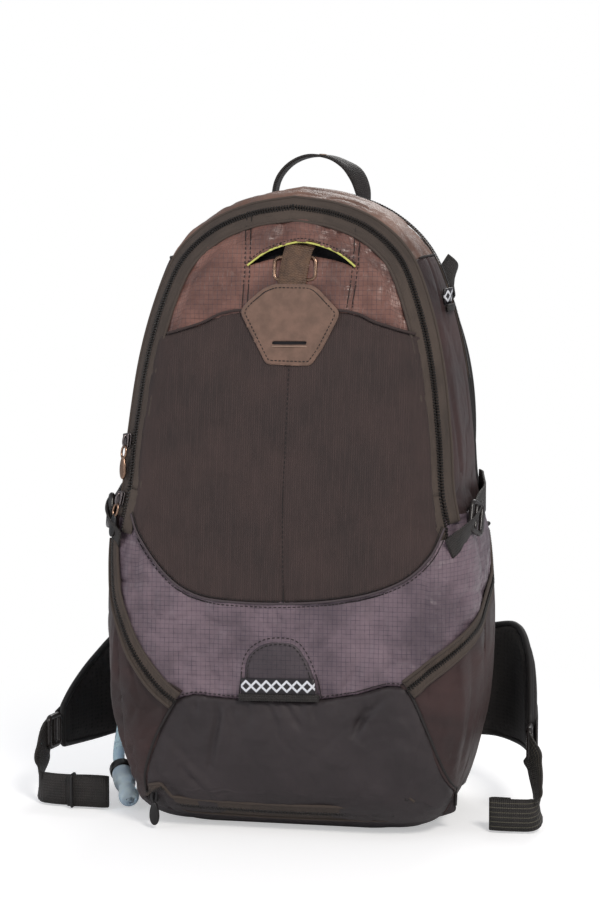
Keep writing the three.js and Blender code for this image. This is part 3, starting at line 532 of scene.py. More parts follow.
def knit(name, base, dark, period=1.7 * MM):
    """Stretch mesh with fine upright ribs and small holes."""
    m = Shader(name, Roughness=0.85, Sheen_Weight=0.03, Sheen_Roughness=0.5)
    uv = m.coords()
    u, v, _ = m.split(uv)
    rib = m.ribs(u, period)
    holes = m.math("MULTIPLY", m.ribs(u, period), m.ribs(v, period * 0.9))
    tone = m.noise(uv, 14, 4, 0.6)
    broken = m.noise(uv, 300, 2, 0.6, (1, 0.12, 1))
    colour = m.mix(m.ramp(tone, 0.3, 0.7), dark, base)
    lighter = shade(base, 1.55)
    ribbed = m.math("MULTIPLY", m.ramp(rib, -0.2, 0.9), m.ramp(broken, 0.3, 0.7))
    colour = m.mix(m.math("MULTIPLY", ribbed, 0.6), colour, lighter)
    m.set("Base Color", colour)
    m.set("Normal", m.bump(m.math("ADD", rib, holes), 0.4, 0.0003))
    return m.material


def spacer(name, base, dark):
    """Padded spacer mesh with a honeycomb of small holes, darkened by painted shade inside them."""
    m = Shader(name, Roughness=0.88, Sheen_Weight=0.04)
    place = m.coords("Object")
    cells = m.node("ShaderNodeTexVoronoi", ("Vector", place), ("Scale", 1 / (3.2 * MM)),
                   ("Randomness", 0.25))
    tone = m.noise(place, 30, 3)
    colour = m.mix(m.ramp(tone, 0.3, 0.7), dark, base)
    # painted shade: the holes are the mesh's own, their near-black colour is the shade inside them
    deep = shade(dark, 0.35)
    holes = m.ramp(cells, 0.18, 0.42, 1.0, 0.0)
    colour = m.mix(holes, colour, deep)
    m.set("Base Color", colour)
    m.set("Normal", m.bump(cells, 0.5, 0.0006))
    return m.material


def suede(name, base, dark):
    m = Shader(name, Roughness=0.9, Sheen_Weight=0.1, Sheen_Roughness=0.5)
    uv = m.coords()
    blotch = m.noise(uv, 90, 4, 0.65)
    nap = m.noise(uv, 1400, 3, 0.7)
    colour = m.mix(m.ramp(blotch, 0.3, 0.7), dark, base)
    colour = m.mix(m.ramp(nap, 0.35, 0.75, 0.0, 0.35), colour, dark)
    m.set("Base Color", colour)
    m.set("Normal", m.bump(nap, 0.35, 0.0003, m.bump(blotch, 0.2, 0.0006)))
    return m.material


def webbing_material(name, base, dark, rib=1.5 * MM, stripe=None):
    """Woven tape: ribs across it, cords along it; UV is (across, along)."""
    m = Shader(name, Roughness=0.62, Sheen_Weight=0.03)
    uv = m.coords()
    u, v, _ = m.split(uv)
    ribs = m.ribs(v, rib)
    cords = m.ribs(u, rib * 1.4)
    tone = m.noise(uv, 120, 3)
    weave = m.math("MULTIPLY", ribs, cords)
    colour = m.mix(m.ramp(tone, 0.3, 0.7), dark, base)
    lighter = shade(base, 1.9)
    colour = m.mix(m.ramp(weave, -0.2, 1.0, 0.0, 0.35), colour, lighter)
    if stripe:
        colour = m.mix(m.lines(u, 3.6 * MM, 0.5 * MM), colour, stripe)
    m.set("Base Color", colour)
    m.set("Normal", m.bump(m.math("ADD", ribs, m.math("MULTIPLY", cords, 0.5)), 0.6, 0.0004))
    return m.material


def moulded(name, base, roughness, metal=0.0):
    """Moulded plastic or cast metal with a faint grain and rubbed patches."""
    m = Shader(name, Roughness=roughness, Metallic=metal)
    place = m.coords("Object")
    grain = m.noise(place, 1500, 2)
    worn = m.noise(place, 120, 4, 0.6)
    lighter = shade(base, 1.5, 0.004)
    m.set("Base Color", m.mix(m.ramp(worn, 0.5, 0.8, 0.0, 0.5), base, lighter))
    m.set("Roughness", m.ramp(worn, 0.3, 0.8, roughness, roughness + 0.18))
    m.set("Normal", m.bump(grain, 0.12, 0.0002))
    return m.material


def clear(name, tint, roughness, transmission):
    """Soft see-through plastic, a little cloudy."""
    m = Shader(name, Roughness=roughness, Transmission_Weight=transmission, IOR=1.35)
    place = m.coords("Object")
    cloud = m.noise(place, 90, 3)
    lighter = shade(tint, 1.25, 0.05)
    m.set("Base Color", m.mix(m.ramp(cloud, 0.35, 0.7), tint, lighter))
    m.set("Roughness", m.ramp(cloud, 0.3, 0.8, roughness, roughness + 0.12))
    m.set("Normal", m.bump(cloud, 0.15, 0.0005))
    return m.material


def flecked(name, base, fleck):
    """Round cord with pale flecks in its braid."""
    m = Shader(name, Roughness=0.6)
    place = m.coords("Object")
    braid = m.node("ShaderNodeTexVoronoi", ("Vector", place), ("Scale", 330))
    m.set("Base Color", m.mix(m.ramp(braid, 0.2, 0.3, 1.0, 0.0), base, fleck))
    m.set("Normal", m.bump(braid, 0.5, 0.0003))
    return m.material


def taped(name, base, mark):
    """Reflective tape on a dark ground, in a plain diamond lattice; UV runs across and along."""
    m = Shader(name, Roughness=0.4)
    u, v, _ = m.split(m.coords())
    period = 7.6 * MM
    saw = m.math("PINGPONG", v, period / 2)
    near = m.math("ABSOLUTE", m.math("SUBTRACT", m.math("ABSOLUTE", u), saw))
    band = m.ramp(near, 0.9 * MM, 1.3 * MM, 1.0, 0.0)
    edge = m.ramp(m.math("ABSOLUTE", u), 4.4 * MM, 4.8 * MM, 1.0, 0.0)
    glint = m.noise(m.coords(), 900, 2)
    bright = m.mix(m.ramp(glint, 0.3, 0.7), mark, shade(mark, 0.82))
    m.set("Base Color", m.mix(m.math("MULTIPLY", band, edge), base, bright))
    m.set("Normal", m.bump(glint, 0.2, 0.0002))
    return m.material


UPPER = ripstop("upper_ripstop", linear(132, 94, 84), linear(88, 62, 57), linear(54, 43, 50), 0.38)
LOWER = ripstop("lower_ripstop", linear(126, 108, 117), linear(90, 77, 85),
                linear(54, 46, 64), 0.42)
TAB = ripstop("tab_ripstop", linear(78, 69, 74), linear(66, 58, 63), linear(44, 38, 50), 0.55)
# partly painted light: the top panel's own colour, lightened for the light falling on it from above
LIT_TOP = plain("top_fabric", linear(138, 106, 92), linear(98, 76, 68), 0.42, streak=(0.35, 1, 1))
SIDE = plain("side_fabric", linear(70, 49, 48), linear(47, 34, 34), 0.5, streak=(0.4, 1, 1))
BASE = plain("base_fabric", linear(61, 54, 56), linear(50, 44, 46), 0.52)
BACK = plain("back_fabric", linear(52, 46, 46), linear(42, 37, 37), 0.7)
LINING = plain("lining_fabric", linear(62, 58, 58), linear(48, 45, 46), 0.75)
# painted shade: near-black cloth for the sheets behind openings, standing for the shade inside them
SLOT_SHADE = plain("slit_shade_lining", linear(30, 27, 32), linear(20, 18, 22), 0.8)
NET = knit("pocket_mesh", linear(62, 48, 46), linear(49, 39, 38))
ZIP_TAPE = knit("zip_tape", linear(78, 67, 60), linear(62, 53, 48), 1.1 * MM)
PAD = spacer("pad_mesh", linear(40, 36, 35), linear(28, 25, 25))
BINDING = webbing_material("binding_tape", linear(30, 27, 27), linear(22, 20, 20), 1.0 * MM)
PATCH = suede("patch_suede", linear(130, 102, 89), linear(108, 86, 75))
WEB = webbing_material("webbing", linear(40, 35, 33), linear(27, 24, 23))
BROWN_WEB = webbing_material("tool_webbing_weave", linear(104, 78, 60), linear(74, 56, 45),
                             1.9 * MM)
STRIPED = webbing_material("striped_webbing", linear(40, 36, 34), linear(28, 26, 24), 1.5 * MM,
                           linear(96, 92, 78))
BLACK = moulded("black_plastic", linear(24, 22, 23), 0.28)
LOCK = moulded("lock_plastic", linear(42, 38, 37), 0.22)
TEETH = moulded("zip_coil", linear(34, 31, 30), 0.38)
BRONZE = moulded("bronze", linear(150, 122, 104), 0.22, 1.0)
GUNMETAL = moulded("slider_metal", linear(120, 112, 112), 0.25, 1.0)
THREAD = moulded("thread", linear(38, 33, 33), 0.7)
PALE_THREAD = moulded("pale_thread", linear(150, 126, 110), 0.7)
LIME = moulded("lime_piping", linear(205, 205, 110), 0.5)
CORD = flecked("flecked_cord", linear(22, 20, 20), linear(220, 218, 214))
TAPE = taped("reflective_tape", linear(34, 30, 34), linear(232, 234, 240))
HOSE = clear("hose_tube", linear(196, 222, 244), 0.2, 0.35)
VALVE = clear("valve_silicone", linear(212, 233, 250), 0.14, 0.3)
BLADDER = clear("bladder_film", linear(188, 211, 224), 0.25, 0.6)
SHEET = moulded("frame_sheet", linear(34, 34, 36), 0.6)


# ---- Meshes ------------------------------------------------------------------------------

def make_object(name, points, faces, material, uv=None, smooth=True):
    mesh = bpy.data.meshes.new(name)
    mesh.from_pydata([tuple(p) for p in points], [], [tuple(f) for f in faces])
    mesh.materials.append(material)
    if smooth:
        mesh.polygons.foreach_set("use_smooth", [True] * len(mesh.polygons))
    if uv is not None:
        layer = mesh.uv_layers.new(name="UVMap")
        corners = np.zeros(len(mesh.loops), np.int32)
        mesh.loops.foreach_get("vertex_index", corners)
        layer.data.foreach_set("uv", np.asarray(uv, float)[corners].ravel())
    obj = bpy.data.objects.new(name, mesh)
    bpy.context.scene.collection.objects.link(obj)
    return obj


def attach(obj, body, slot, *nodes):
    """Rides on a body and stands for CAD nodes, which it hides; slot is not used."""
    if isinstance(body, str):
        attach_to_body(obj, body)
    if nodes:
        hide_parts(*nodes)
    return obj


def apply_modifiers(obj):
    depsgraph = bpy.context.evaluated_depsgraph_get()
    mesh = bpy.data.meshes.new_from_object(obj.evaluated_get(depsgraph))
    obj.modifiers.clear()
    obj.data = mesh
    return obj


def thicken(obj, thickness):
    """Gives a sheet of cloth its thickness, under its outer face."""
    solid = obj.modifiers.new("thick", "SOLIDIFY")
    solid.thickness = thickness
    solid.offset = -1
    return apply_modifiers(obj)


def grid_faces(rows, columns, closed=False, capped=False):
    """Quads over rows of points; a closed grid joins up each row, a capped one has end faces."""
    faces = []
    for i in range(rows - 1):
        for j in range(columns if closed else columns - 1):
            a = i * columns + j
            b = i * columns + (j + 1) % columns
            faces.append((a, b, b + columns, a + columns))
    if capped:
        faces.append(tuple(range(columns))[::-1])
        faces.append(tuple((rows - 1) * columns + j for j in range(columns)))
    return faces


def wall(name, s_line, q_low, q_high, relief, material, step=0.003, out=0.0, thick=1.4 * MM):
    """A panel of the bag's wall. q_low and q_high are its edges at each place of s_line."""
    s_line = np.asarray(s_line, float)
    q_low, q_high = np.broadcast_to(q_low, s_line.shape), np.broadcast_to(q_high, s_line.shape)
    columns = max(int(np.max(q_high - q_low) / step), 2) + 1
    share = np.linspace(0, 1, columns)
    s = np.repeat(s_line, columns)
    q = (q_low[:, None] + (q_high - q_low)[:, None] * share).ravel()
    lift = out + (relief(s, q) if relief else 0)
    points, _ = skin(s, q, lift)
    obj = make_object(name, points, grid_faces(len(s_line), columns), material, np.stack([q, s], 1))
    return thicken(obj, thick)


def patch(name, outline, material, relief=None, out=1.2 * MM, spacing=2.2 * MM, holes=(),
          thick=1.2 * MM, sink=1.6 * MM, puff=1.5 * MM, reach=9 * MM, surface=field):
    """A cloth panel laid on the front, cut to an outline of (x, z) points in metres. Its edges are
    pulled in by sink at the seam, and it swells by puff within reach of it."""
    outline = even_loop(outline, spacing)
    rims = [outline] + [even_loop(hole, spacing) for hole in holes]
    low, high = outline.min(0), outline.max(0)
    xs = np.arange(low[0], high[0], spacing)
    zs = np.arange(low[1], high[1], spacing * 0.866)
    grid = np.array([(x + (k % 2) * spacing / 2, z) for k, z in enumerate(zs) for x in xs])
    keep = inside(grid, outline)
    grid = grid[keep]
    for rim in rims:
        grid = grid[distance_to(grid, rim, closed=True)[0] > spacing * 0.55]
    for rim in rims[1:]:
        grid = grid[~inside(grid, rim)]
    edges, start = [], 0
    for rim in rims:
        edges += [(start + i, start + (i + 1) % len(rim)) for i in range(len(rim))]
        start += len(rim)
    flat = np.concatenate(rims + [grid])
    made = delaunay_2d_cdt([Vector(p) for p in flat], edges, [], 0, 1e-7)
    flat = np.array([tuple(v) for v in made[0]])
    faces = np.array([f for f in made[2] if len(f) == 3])
    middle = flat[faces].mean(1)
    good = inside(middle, outline)
    for rim in rims[1:]:
        good &= ~inside(middle, rim)
    faces = faces[good][:, ::-1]
    used = np.unique(faces)
    index = np.full(len(flat), -1)
    index[used] = np.arange(len(used))
    flat, faces = flat[used], index[faces]
    away, _ = distance_to(flat, outline, closed=True)
    lift = out + puff * (1 - np.exp(-(away / reach) ** 1.5)) - sink * np.exp(-(away / 1.6e-3) ** 2)
    if relief is not None:
        lift = lift + relief(flat) * (1 - 0.55 * np.exp(-(away / 4e-3) ** 2))
    points, _ = surface(flat, lift)
    a, b, c = flat[faces[0]]
    if (b - a)[0] * (c - a)[1] - (b - a)[1] * (c - a)[0] < 0:
        faces = faces[:, ::-1]
    obj = make_object(name, points, faces, material, unrolled(flat) if surface is field else flat)
    return thicken(obj, thick)


def tube(name, points, radius, material, sides=8, closed=False):
    points = np.asarray(points, float)
    count = len(points)
    if closed:
        tangent = unit(np.roll(points, -1, 0) - np.roll(points, 1, 0))
    else:
        tangent = unit(np.gradient(points, axis=0))
    radius = np.broadcast_to(radius, (count,))
    side = np.cross(tangent[0], [0.3, 0.2, 1.0])
    rings = []
    for i in range(count):
        side = side - tangent[i] * side.dot(tangent[i])
        side = side / max(np.linalg.norm(side), 1e-9)
        up = np.cross(tangent[i], side)
        angle = np.arange(sides) * 2 * math.pi / sides
        rings.append(points[i] + radius[i] * (np.outer(np.cos(angle), side)
                                              + np.outer(np.sin(angle), up)))
    verts = np.concatenate(rings)
    faces = grid_faces(count, sides, closed=True, capped=not closed)
    if closed:
        last = (count - 1) * sides
        faces += [(last + j, last + (j + 1) % sides, (j + 1) % sides, j) for j in range(sides)]
    return make_object(name, verts, faces, material)


def strap(name, points, sides, width, thick, material):
    """Flat webbing with rounded edges along points; sides gives the direction of its width, for
    all of it or at each point."""
    points = np.asarray(points, float)
    joined = np.concatenate([points, np.broadcast_to(np.asarray(sides, float), points.shape)], 1)
    line = smooth_line(joined, 2 * MM)
    centre, across = line[:, :3], line[:, 3:]
    tangent = unit(np.gradient(centre, axis=0))
    across = unit(across - tangent * (across * tangent).sum(1)[:, None])
    up = np.cross(tangent, across)
    half, low = width / 2, thick / 2
    corner = low * 0.8
    section = [(-half + corner * 0.3, -low), (-half / 3, -low), (half / 3, -low),
               (half - corner * 0.3, -low), (half, -low * 0.3), (half, low * 0.3),
               (half - corner * 0.3, low), (half / 3, low), (-half / 3, low),
               (-half + corner * 0.3, low), (-half, low * 0.3), (-half, -low * 0.3)]
    count = len(section)
    verts = np.concatenate([centre[i] + np.array([across[i] * a + up[i] * b for a, b in section])
                            for i in range(len(centre))])
    faces = grid_faces(len(centre), count, closed=True, capped=True)
    along = distances(centre)
    uv = np.array([(a, along[i]) for i in range(len(centre)) for a, _ in section])
    return make_object(name, verts, faces, material, uv)


def join(name, objects):
    """One piece from several, which keep their materials."""
    first = objects[0]
    with bpy.context.temp_override(active_object=first, object=first, selected_objects=objects,
                                   selected_editable_objects=objects):
        bpy.ops.object.join()
    first.name = name
    first.data.name = name
    return first


def bars(name, centres, along, across, up, size, material):
    """Many small rounded bars, one at each centre: zip teeth and stitches."""
    length, width, thick = (v / 2 for v in size)
    shape = [(-1, 0, -0.1), (1, 0, -0.1), (-0.72, -1, 0), (0.72, -1, 0), (-0.72, 1, 0),
             (0.72, 1, 0), (-0.6, 0, 1), (0.6, 0, 1), (-0.6, 0, -1), (0.6, 0, -1)]
    faces = [(0, 2, 6), (0, 6, 4), (0, 8, 2), (0, 4, 8), (1, 7, 3), (1, 5, 7), (1, 3, 9),
             (1, 9, 5), (2, 3, 7, 6), (6, 7, 5, 4), (8, 9, 3, 2), (4, 5, 9, 8)]
    verts, all_faces = [], []
    for i, centre in enumerate(centres):
        for a, b, c in shape:
            verts.append(centre + along[i] * a * length + across[i] * b * width
                         + up[i] * c * thick)
        all_faces += [tuple(v + i * len(shape) for v in f) for f in faces]
    return make_object(name, verts, all_faces, material, smooth=False)


TOOTH = (2.6 * MM, 1.3 * MM, 1.5 * MM)
TOOTH_PITCH = 2.1 * MM
ZIP_THICK = 0.9 * MM


def row_shares(count, side):
    """Where one side's teeth stand along a zip, set off from the other side's."""
    return (np.arange(count) + 0.5 + 0.25 * side) / count


def stitches(name, line, normals, length=2.4 * MM, pitch=3.6 * MM):
    """A row of stitches along a line of points."""
    joined = resample(np.concatenate([line, normals], 1), pitch)
    centre, normal = joined[:, :3], unit(joined[:, 3:])
    along = unit(np.gradient(centre, axis=0))
    across = np.cross(along, normal)
    return bars(name, centre, along, across, normal, (length, 0.7 * MM, 0.7 * MM), THREAD)


def seam(name, line, out, relief=None, **size):
    """Stitches on the front face along a front-view line, lying on the cloth's relief."""
    line = resample(line, 2 * MM)
    lift = np.full(len(line), out) if relief is None else out + relief(line)
    points, normals = field(line, lift)
    return stitches(name, points, normals, **size)


def zip_line(name, s, inset, tape_insets, side, out):
    """One half of the main zip: a woven tape between two insets, and a row of teeth at its edge.
    side sets the two halves' teeth off from each other."""
    q = q_of_inset(inset)
    low, high = sorted(q_of_inset(edge) for edge in tape_insets)
    line = np.linspace(s[0], s[1], max(int(abs(s[1] - s[0]) / 0.004), 2) + 1)
    tape = wall(name, line, low, high, None, ZIP_TAPE, step=0.0018, out=out, thick=ZIP_THICK)
    at = s[0] + (s[1] - s[0]) * row_shares(int(abs(s[1] - s[0]) / TOOTH_PITCH), side)
    centre, up = skin(at, q, out + 0.7 * MM)
    ahead, _ = skin(at + 0.001, q, out + 0.7 * MM)
    along = unit(ahead - centre)
    across = np.cross(up, along)
    teeth = bars(name + "_teeth", centre, across, along, up, TOOTH, TEETH)
    return join(name, [tape, teeth])


def rounded_plate(name, outline, place, across, out, thickness, material, bevel):
    """A plate of a flat outline (across, along), standing on a surface, with rounded edges."""
    outline = np.asarray(outline, float)
    across, out = unit(np.asarray(across, float)), unit(np.asarray(out, float))
    across = unit(across - out * across.dot(out))
    along = np.cross(across, out)
    layers = []
    for inset, height in ((bevel, 0), (bevel * 0.3, bevel * 0.3), (0, bevel),
                          (0, thickness - bevel), (bevel * 0.3, thickness - bevel * 0.3),
                          (bevel, thickness)):
        tangent = unit(np.roll(outline, -1, 0) - np.roll(outline, 1, 0))
        normal = np.stack([tangent[:, 1], -tangent[:, 0]], 1)
        area = np.cross(outline, np.roll(outline, -1, 0)).sum()
        layers.append((outline - normal * inset * (1 if area > 0 else -1), height))
    place = np.asarray(place, float)
    verts = np.concatenate([place + np.outer(flat[:, 0], across) + np.outer(flat[:, 1], along)
                            + out * height for flat, height in layers])
    faces = grid_faces(len(layers), len(outline), closed=True, capped=True)
    return fix_normals(make_object(name, verts, faces, material))


def fix_normals(obj):
    mesh = bmesh.new()
    mesh.from_mesh(obj.data)
    bmesh.ops.recalc_face_normals(mesh, faces=mesh.faces)
    mesh.to_mesh(obj.data)
    mesh.free()
    return obj


def rounded_box(half_x, half_z, radius, steps=5):
    """A flat outline with round corners."""
    points = []
    for k, (cx, cz) in enumerate(((1, 1), (-1, 1), (-1, -1), (1, -1))):
        for i in range(steps):
            angle = (k + i / (steps - 1)) * QUARTER
            points.append((cx * (half_x - radius) + radius * math.cos(angle),
                           cz * (half_z - radius) + radius * math.sin(angle)))
    return np.array(points)


# ---- Camera, light and stage -------------------------------------------------------------

def make_camera():
    azimuth, elevation, distance = math.radians(11), math.radians(4.5), 1.6
    target = Vector((0.0, -0.02, 0.282))
    back = Vector((math.sin(azimuth) * math.cos(elevation),
                   -math.cos(azimuth) * math.cos(elevation), math.sin(elevation)))
    data = bpy.data.cameras.new("camera")
    data.lens = 84.0
    data.sensor_width = 36.0
    camera = bpy.data.objects.new("camera", data)
    camera.location = target + back * distance
    camera.rotation_mode = "QUATERNION"
    camera.rotation_quaternion = (-back).to_track_quat("-Z", "Y")
    bpy.context.scene.collection.objects.link(camera)
    bpy.context.scene.camera = camera


def area_light(name, place, aim, size, power, colour):
    data = bpy.data.lights.new(name, "AREA")
    data.shape = "RECTANGLE"
    data.size, data.size_y = size
    data.energy = power
    data.color = colour
    lamp = bpy.data.objects.new(name, data)
    lamp.location = place
    lamp.rotation_mode = "QUATERNION"
    lamp.rotation_quaternion = (Vector(aim) - Vector(place)).to_track_quat("-Z", "Y")
    bpy.context.scene.collection.objects.link(lamp)


WHITE = (1, 1, 1, 1)
AMBIENT = 0.42


def camera_rays(tree):
    """1 for what the camera sees directly or through something clear, and 0 for other light."""
    rays = tree.nodes.new("ShaderNodeLightPath")
    seen = tree.nodes.new("ShaderNodeMath")
    seen.operation = "MAXIMUM"
    tree.links.new(rays.outputs["Is Camera Ray"], seen.inputs[0])
    tree.links.new(rays.outputs["Is Transmission Ray"], seen.inputs[1])
    return seen.outputs[0]


def mix_to_output(tree, share, first, second, output):
    mix = tree.nodes.new("ShaderNodeMixShader")
    for place, socket in enumerate((share, first, second)):
        tree.links.new(socket, mix.inputs[place])
    tree.links.new(mix.outputs[0], tree.nodes[output].inputs[0])


def make_stage():
    scene = bpy.context.scene
    scene.view_settings.view_transform = "Standard"
    area_light("key", (1.1, -1.7, 1.75), (0, 0, 0.3), (0.55, 0.5), 30, (1.0, 0.96, 0.9))
    area_light("fill", (-1.8, -1.4, 0.8), (0, 0, 0.25), (0.9, 1.2), 9, (0.97, 0.98, 1.0))
    area_light("back", (0.2, 1.9, 1.7), (0, 0, 0.25), (1.2, 1.0), 16, (1.0, 0.98, 0.95))
    world = bpy.data.worlds.new("world")
    world.use_nodes = True
    scene.world = world
    tree = world.node_tree
    light = tree.nodes["Background"]
    light.inputs["Color"].default_value = (0.93, 0.95, 1.0, 1)
    light.inputs["Strength"].default_value = AMBIENT
    shown = tree.nodes.new("ShaderNodeBackground")
    shown.inputs["Color"].default_value = WHITE
    mix_to_output(tree, camera_rays(tree), light.outputs[0], shown.outputs[0], "World Output")
    half = 6.0
    floor = make_object("floor", [(-half, -half, 0), (half, -half, 0), (half, half, 0),
                                  (-half, half, 0)], [(0, 1, 2, 3)], floor_material(), smooth=False)


def floor_material():
    """Pale floor that keeps the shadow near the pack and turns to plain white beyond it."""
    m = Shader("floor", Roughness=0.9, Base_Color=(0.86, 0.86, 0.87, 1))
    seen = camera_rays(m.tree)
    m.surface.inputs["Emission Color"].default_value = WHITE
    m.set("Emission Strength", m.math("MULTIPLY", seen, AMBIENT))
    x, y, _ = m.split(m.coords("Object"))
    away = m.math("SQRT", m.math("ADD", m.math("MULTIPLY", x, x), m.math("MULTIPLY", y, y)))
    white = m.node("ShaderNodeEmission", ("Color", WHITE))
    far = m.math("MULTIPLY", seen, m.ramp(away, 0.3, 0.6))
    mix_to_output(m.tree, far, m.surface.outputs[0], white, "Material Output")
    return m.material


# ---- Drinking hose -----------------------------------------------------------------------

HOSE_RADIUS = 4.7 * MM
HOSE_ROUTE = in_mm([
    (-113, 79.5, 360), (-113, 79.5, 352), (-115, 80, 336), (-117.5, 80.3, 320), (-120, 80.5, 305),
    (-122.6, 80.8, 286), (-125, 81, 268), (-131, 81, 232), (-138, 80, 200), (-145, 77, 170),
    (-151, 71, 142), (-155, 63, 116), (-156, 54.5, 95), (-156.3, 46, 76), (-156, 36, 59),
    (-155.6, 26, 46.5), (-154.6, 16, 37), (-152.6, 7.5, 31), (-149.5, 0, 27),
])
VALVE_TIP = in_mm((-131, -37, 8.6))


def lathe(name, profile, base, tip, material, sides=28):
    """A turned piece from base to tip; profile is (radius in mm, share of the way)."""
    radius, share = np.asarray(profile, float).T
    points = base + np.outer(share + np.arange(len(share)) * 1e-5, tip - base)
    return tube(name, points, radius * MM, material, sides)


def build_hose():
    line = smooth_line(HOSE_ROUTE, 4 * MM)
    data = bpy.data.curves.new("drinking_hose", "CURVE")
    data.dimensions = "3D"
    spline = data.splines.new("POLY")
    spline.points.add(len(line) - 1)
    spline.points.foreach_set("co", np.concatenate([line, np.ones((len(line), 1))], 1).ravel())
    spline.use_smooth = True
    data.bevel_depth = HOSE_RADIUS
    data.bevel_resolution = 6
    data.use_fill_caps = True
    data.materials.append(HOSE)
    hose = bpy.data.objects.new("drinking_hose", data)
    bpy.context.scene.collection.objects.link(hose)
    attach(hose, "root", "hose", "hose")
    end = line[-1]
    body = [(0.1, 0.0), (5.9, 0.0), (6.1, 0.06), (6.0, 0.14), (7.4, 0.18), (8.3, 0.24), (8.5, 0.34),
            (8.4, 0.5), (7.4, 0.6), (6.6, 0.68), (7.2, 0.76), (7.9, 0.84), (7.8, 0.92), (6.4, 0.98),
            (3.0, 1.0), (0.1, 0.985)]
    valve = lathe("bite_valve_silicone", catmull(body, 4), end, VALVE_TIP, VALVE)
    ring = [(5.0, 0.02), (8.6, 0.05), (9.2, 0.1), (9.2, 0.17), (8.6, 0.21), (5.0, 0.24)]
    collar = lathe("bite_valve_ring", catmull(ring, 4), end, VALVE_TIP, BLACK)
    attach(valve, "root", "hose", "bite_valve")
    attach(collar, "root", "plastic")


# ---- The front panels --------------------------------------------------------------------

# Lines of the lower front, in mm (x, z) of the cloth spread flat: the zips slant down and in from
# the sides, and the seams run on from their ends to the base.
RIGHT_ZIP = [(246, 217), (238, 204), (221, 187), (180, 168), (146, 151), (117, 133), (95, 116)]
RIGHT_SEAM = [(95, 116), (103, 99), (111, 78), (119, 52), (124, 34), (124, 20)]
LEFT_ZIP = [(-137, 220), (-134, 200), (-130, 178), (-121, 157), (-109, 134), (-92, 112),
            (-79, 101)]
LEFT_SEAM = [(-79, 101), (-93, 76), (-100, 58), (-105, 40), (-104, 20)]
BAND_LOW = [(-79, 101), (-64, 105.5), (-46, 104), (-22, 103.5), (8, 103.5), (31, 105.5),
            (56, 110), (80, 117), (95, 116)]
MESH_LOW = [(-113, 238), (-107, 222), (-94, 203), (-80, 189), (-66, 181), (-50, 177), (-22, 175.4),
            (8, 175.8), (40, 178.6), (70, 185), (94, 196), (110, 212), (118, 232)]
MESH_TOP = [(104, 368), (68, 379), (40, 388), (-37, 388), (-66, 378), (-99, 368)]
SLIT = [(-31, 421), (-17, 431), (0, 437), (12, 438), (28, 434), (40, 428), (50, 420)]


def offset_line(line, amount):
    """A line moved sideways, to the left of its direction when amount is positive."""
    tangent = unit(np.gradient(line, axis=0))
    return line + np.stack([-tangent[:, 1], tangent[:, 0]], 1) * amount


def inset_loop(inset, z_low, half=None):
    """Front-view points of the outline moved in, from the right side at z_low over the top to
    the left side."""
    s = np.linspace(side_s(z_low), side_s(z_low, -1), 400)
    point, normal = loop_at(s)
    moved = point - normal * inset
    if half is not None:
        moved[:, 0] = np.clip(moved[:, 0], -half, half)
    return moved


UPPER_FOLDS = [
    ([(-12, 437), (-6, 446), (0, 456)], 5, -1.8), ([(-22, 440), (-12, 452)], 6, 1.2),
    ([(24, 458), (26, 448)], 2.5, -1.8), ([(22, 440), (33, 443), (39, 451)], 3.0, -2.2),
    ([(41, 431), (52, 433)], 2.4, -1.6), ([(53, 438), (62, 445), (77, 447)], 2.6, -2.0),
    ([(58, 434), (72, 427), (83, 426)], 3.0, -2.2), ([(88, 414), (97, 424), (99, 432)], 2.8, -2.4),
    ([(73, 453), (77, 443)], 2.2, -1.8), ([(84, 382), (95, 398), (99, 411)], 4.0, -2.6),
    ([(60, 437), (74, 437)], 4, 1.6), ([(78, 418), (90, 405)], 5, 1.6),
    ([(62, 415), (75, 408), (92, 392)], 5, -1.2), ([(-70, 440), (-78, 415), (-84, 390)], 5, -1.3),
    ([(-90, 425), (-96, 400)], 4, -1.4), ([(-52, 448), (-56, 430)], 4, -1.1),
    ([(44, 415), (52, 400), (54, 388)], 3.5, -1.2), ([(47, 423), (58, 420)], 2, -1.5),
]
BAND_FOLDS = [
    ([(65, 180), (70, 161), (61, 140), (50, 118), (48, 104)], 5.5, -2.6),
    ([(84, 146), (77, 120)], 5, -2.0), ([(101, 160), (97, 140), (90, 125)], 5, -1.3),
    ([(-50, 166), (-47, 146)], 4, -1.6), ([(-4, 170), (4, 156)], 3.5, -1.6),
    ([(-54, 128), (-47, 112)], 4, -1.8), ([(57, 129), (47, 108)], 3.5, -1.8),
    ([(-106, 214), (-112, 190), (-104, 160), (-96, 140)], 5, -2.2),
    ([(-116, 205), (-117, 180)], 5, 1.4),
    ([(-28, 150), (-32, 118)], 5, -1.0), ([(22, 172), (26, 160)], 4, -1.0),
    ([(120, 178), (110, 160)], 4, -1.4), ([(35, 116), (37, 104)], 2.6, -1.4),
]
